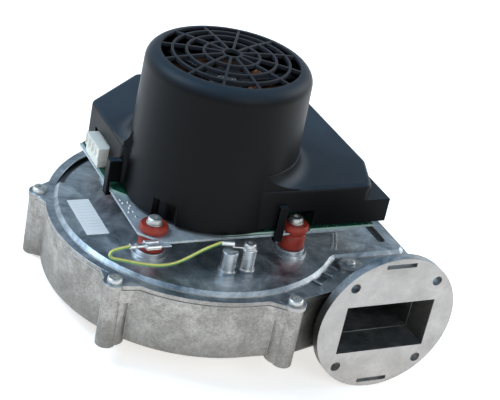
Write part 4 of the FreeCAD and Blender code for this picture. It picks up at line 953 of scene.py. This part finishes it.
# %% [markdown]
# ## Earth lead
#
# A short yellow lead with a green stripe joins the motor plate to the post on the scroll. It is
# fixed at both ends and sags between them. Its line is one smooth curve that keeps close to the
# solid's, with a softer fold beside the tab. The green stripe is where the tube faces down and to
# the front.


# %% Earth lead
lead_points = (
    (-72.0, -54.6, 63.15), (-78.8, -54.7, 62.3), (-84.2, -55.0, 60.8), (-84.4, -56.6, 57.4),
    (-79.0, -57.4, 56.3), (-73.6, -58.2, 55.2),
    (-66.0, -60.4, 54.0), (-56.4, -63.0, 53.4), (-47.2, -63.6, 53.8), (-38.4, -62.2, 55.4),
    (-29.6, -60.2, 58.2), (-21.4, -59.4, 61.6), (-13.28, -58.95, 63.9),
)


def smooth_line(name, points, radius):
    """A tube of this radius in metres along a smooth curve."""
    curve = bpy.data.curves.new(name, "CURVE")
    curve.dimensions = "3D"
    curve.bevel_depth = radius
    curve.bevel_resolution = 5
    spline = curve.splines.new("NURBS")
    spline.points.add(len(points) - 1)
    for point, place in zip(spline.points, points):
        point.co = (*[v * MM for v in place], 1.0)
    spline.order_u = 3
    spline.use_endpoint_u = True
    spline.resolution_u = 8
    line = bpy.data.objects.new(name, curve)
    bpy.context.scene.collection.objects.link(line)
    return line


def striped_lead():
    f = Finish("yellow and green insulation", roughness=0.38, gloss=0.5)
    stripe = (f.facing("y") * -0.8 - f.facing("z") * 0.6).step(0.30, 0.42)
    dirt = f.noise(240.0, 4.0, 0.6)
    yellow = f.mix(dirt.step(0.4, 0.75) * 0.5, (0.78, 0.72, 0.19), (0.62, 0.60, 0.17))
    f.paint(f.mix(stripe, yellow, (0.17, 0.36, 0.10)), 0.36 + (dirt - 0.5) * 0.2)
    f.relief((f.noise(900.0), 0.03 * MM))
    return f.material


lead = smooth_line("earth_lead_curve", lead_points, 1.0 * MM)
lead.data.materials.append(striped_lead())
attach(lead, "housing")
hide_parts("earth_lead")
print("lead of", len(lead_points), "points")

# %% [markdown]
# ## Floor and light
#
# The scroll rests on the lower edge of its flange and on the far edge of its bowl, so the floor
# is not square to the motor's axis: it tilts by about six degrees. It is pale paper, giving off a
# little light, so that the whole background is near white. The light is a studio's: one large
# soft lamp above and behind gives the deck its broad sheen, and weaker ones fill the front.

# %% Floor
floor_half = 9.0
floor_glow = 0.58
flange_low = Vector((91.0, -101.0, -26.45)) * MM
boss_left = Vector((-95.5, 46.0, -1.05)) * MM
boss_rear = Vector((4.0, 116.5, -1.05)) * MM
upward = (boss_rear - flange_low).cross(boss_left - flange_low)
turn = upward.normalized().to_track_quat("Z", "Y").to_matrix().to_4x4()
floor_mesh = bpy.data.meshes.new("floor")
floor_bm = bmesh.new()
bmesh.ops.create_grid(floor_bm, x_segments=2, y_segments=2, size=floor_half)
bmesh.ops.transform(floor_bm, matrix=Matrix.Translation(flange_low) @ turn, verts=floor_bm.verts)
floor_bm.to_mesh(floor_mesh)
floor_bm.free()
floor = bpy.data.objects.new("floor", floor_mesh)
bpy.context.scene.collection.objects.link(floor)
paper = Finish("pale paper", roughness=0.9)
paper.paint(paper.mix(paper.noise(3.0), (0.90, 0.90, 0.90), (0.93, 0.93, 0.93)))
paper.shader.inputs["Emission Color"].default_value = (1.0, 0.985, 0.96, 1.0)
paper.shader.inputs["Emission Strength"].default_value = floor_glow
floor.data.materials.append(paper.material)
print("floor tilts by", round(math.degrees(upward.angle(Vector((0, 0, 1)))), 1), "degrees")


# %% Lamps
lamp_aim = Vector((0.0, 0.0, 0.06))
horizon_colour = (0.60, 0.595, 0.58, 1.0)
overhead_colour = (0.13, 0.23, 0.34, 1.0)


def soft_lamp(name, place, size, watts, colour):
    """A square lamp that looks at the middle of the object."""
    light = bpy.data.lights.new(name, "AREA")
    light.size = size
    light.energy = watts
    light.color = colour
    lamp = bpy.data.objects.new(name, light)
    lamp.location = place
    lamp.rotation_euler = (lamp_aim - Vector(place)).to_track_quat("-Z", "Y").to_euler()
    bpy.context.scene.collection.objects.link(lamp)


soft_lamp("key", (-0.9, 0.5, 1.2), size=0.8, watts=15.0, colour=(0.68, 0.84, 1.0))
soft_lamp("front", (0.3, -1.5, 0.9), size=1.2, watts=7.0, colour=(1.0, 0.98, 0.95))
soft_lamp("right", (1.3, 0.1, 0.7), size=0.9, watts=7.0, colour=(1.0, 0.99, 0.97))
world = bpy.data.worlds.new("studio")
world.use_nodes = True
sky = world.node_tree
direction = sky.nodes.new("ShaderNodeTexCoord")
parts = sky.nodes.new("ShaderNodeSeparateXYZ")
sky.links.new(direction.outputs["Generated"], parts.inputs[0])
height = Wire(sky, parts.outputs["Z"]).step(0.10, 0.75)
blend = sky.nodes.new("ShaderNodeMix")
blend.data_type = "RGBA"
blend.inputs[6].default_value = horizon_colour
blend.inputs[7].default_value = overhead_colour
sky.links.new(height.socket, blend.inputs[0])
sky.links.new(blend.outputs[2], sky.nodes["Background"].inputs["Color"])
bpy.context.scene.world = world
bpy.context.scene.view_settings.view_transform = "Standard"
print("lamps set")
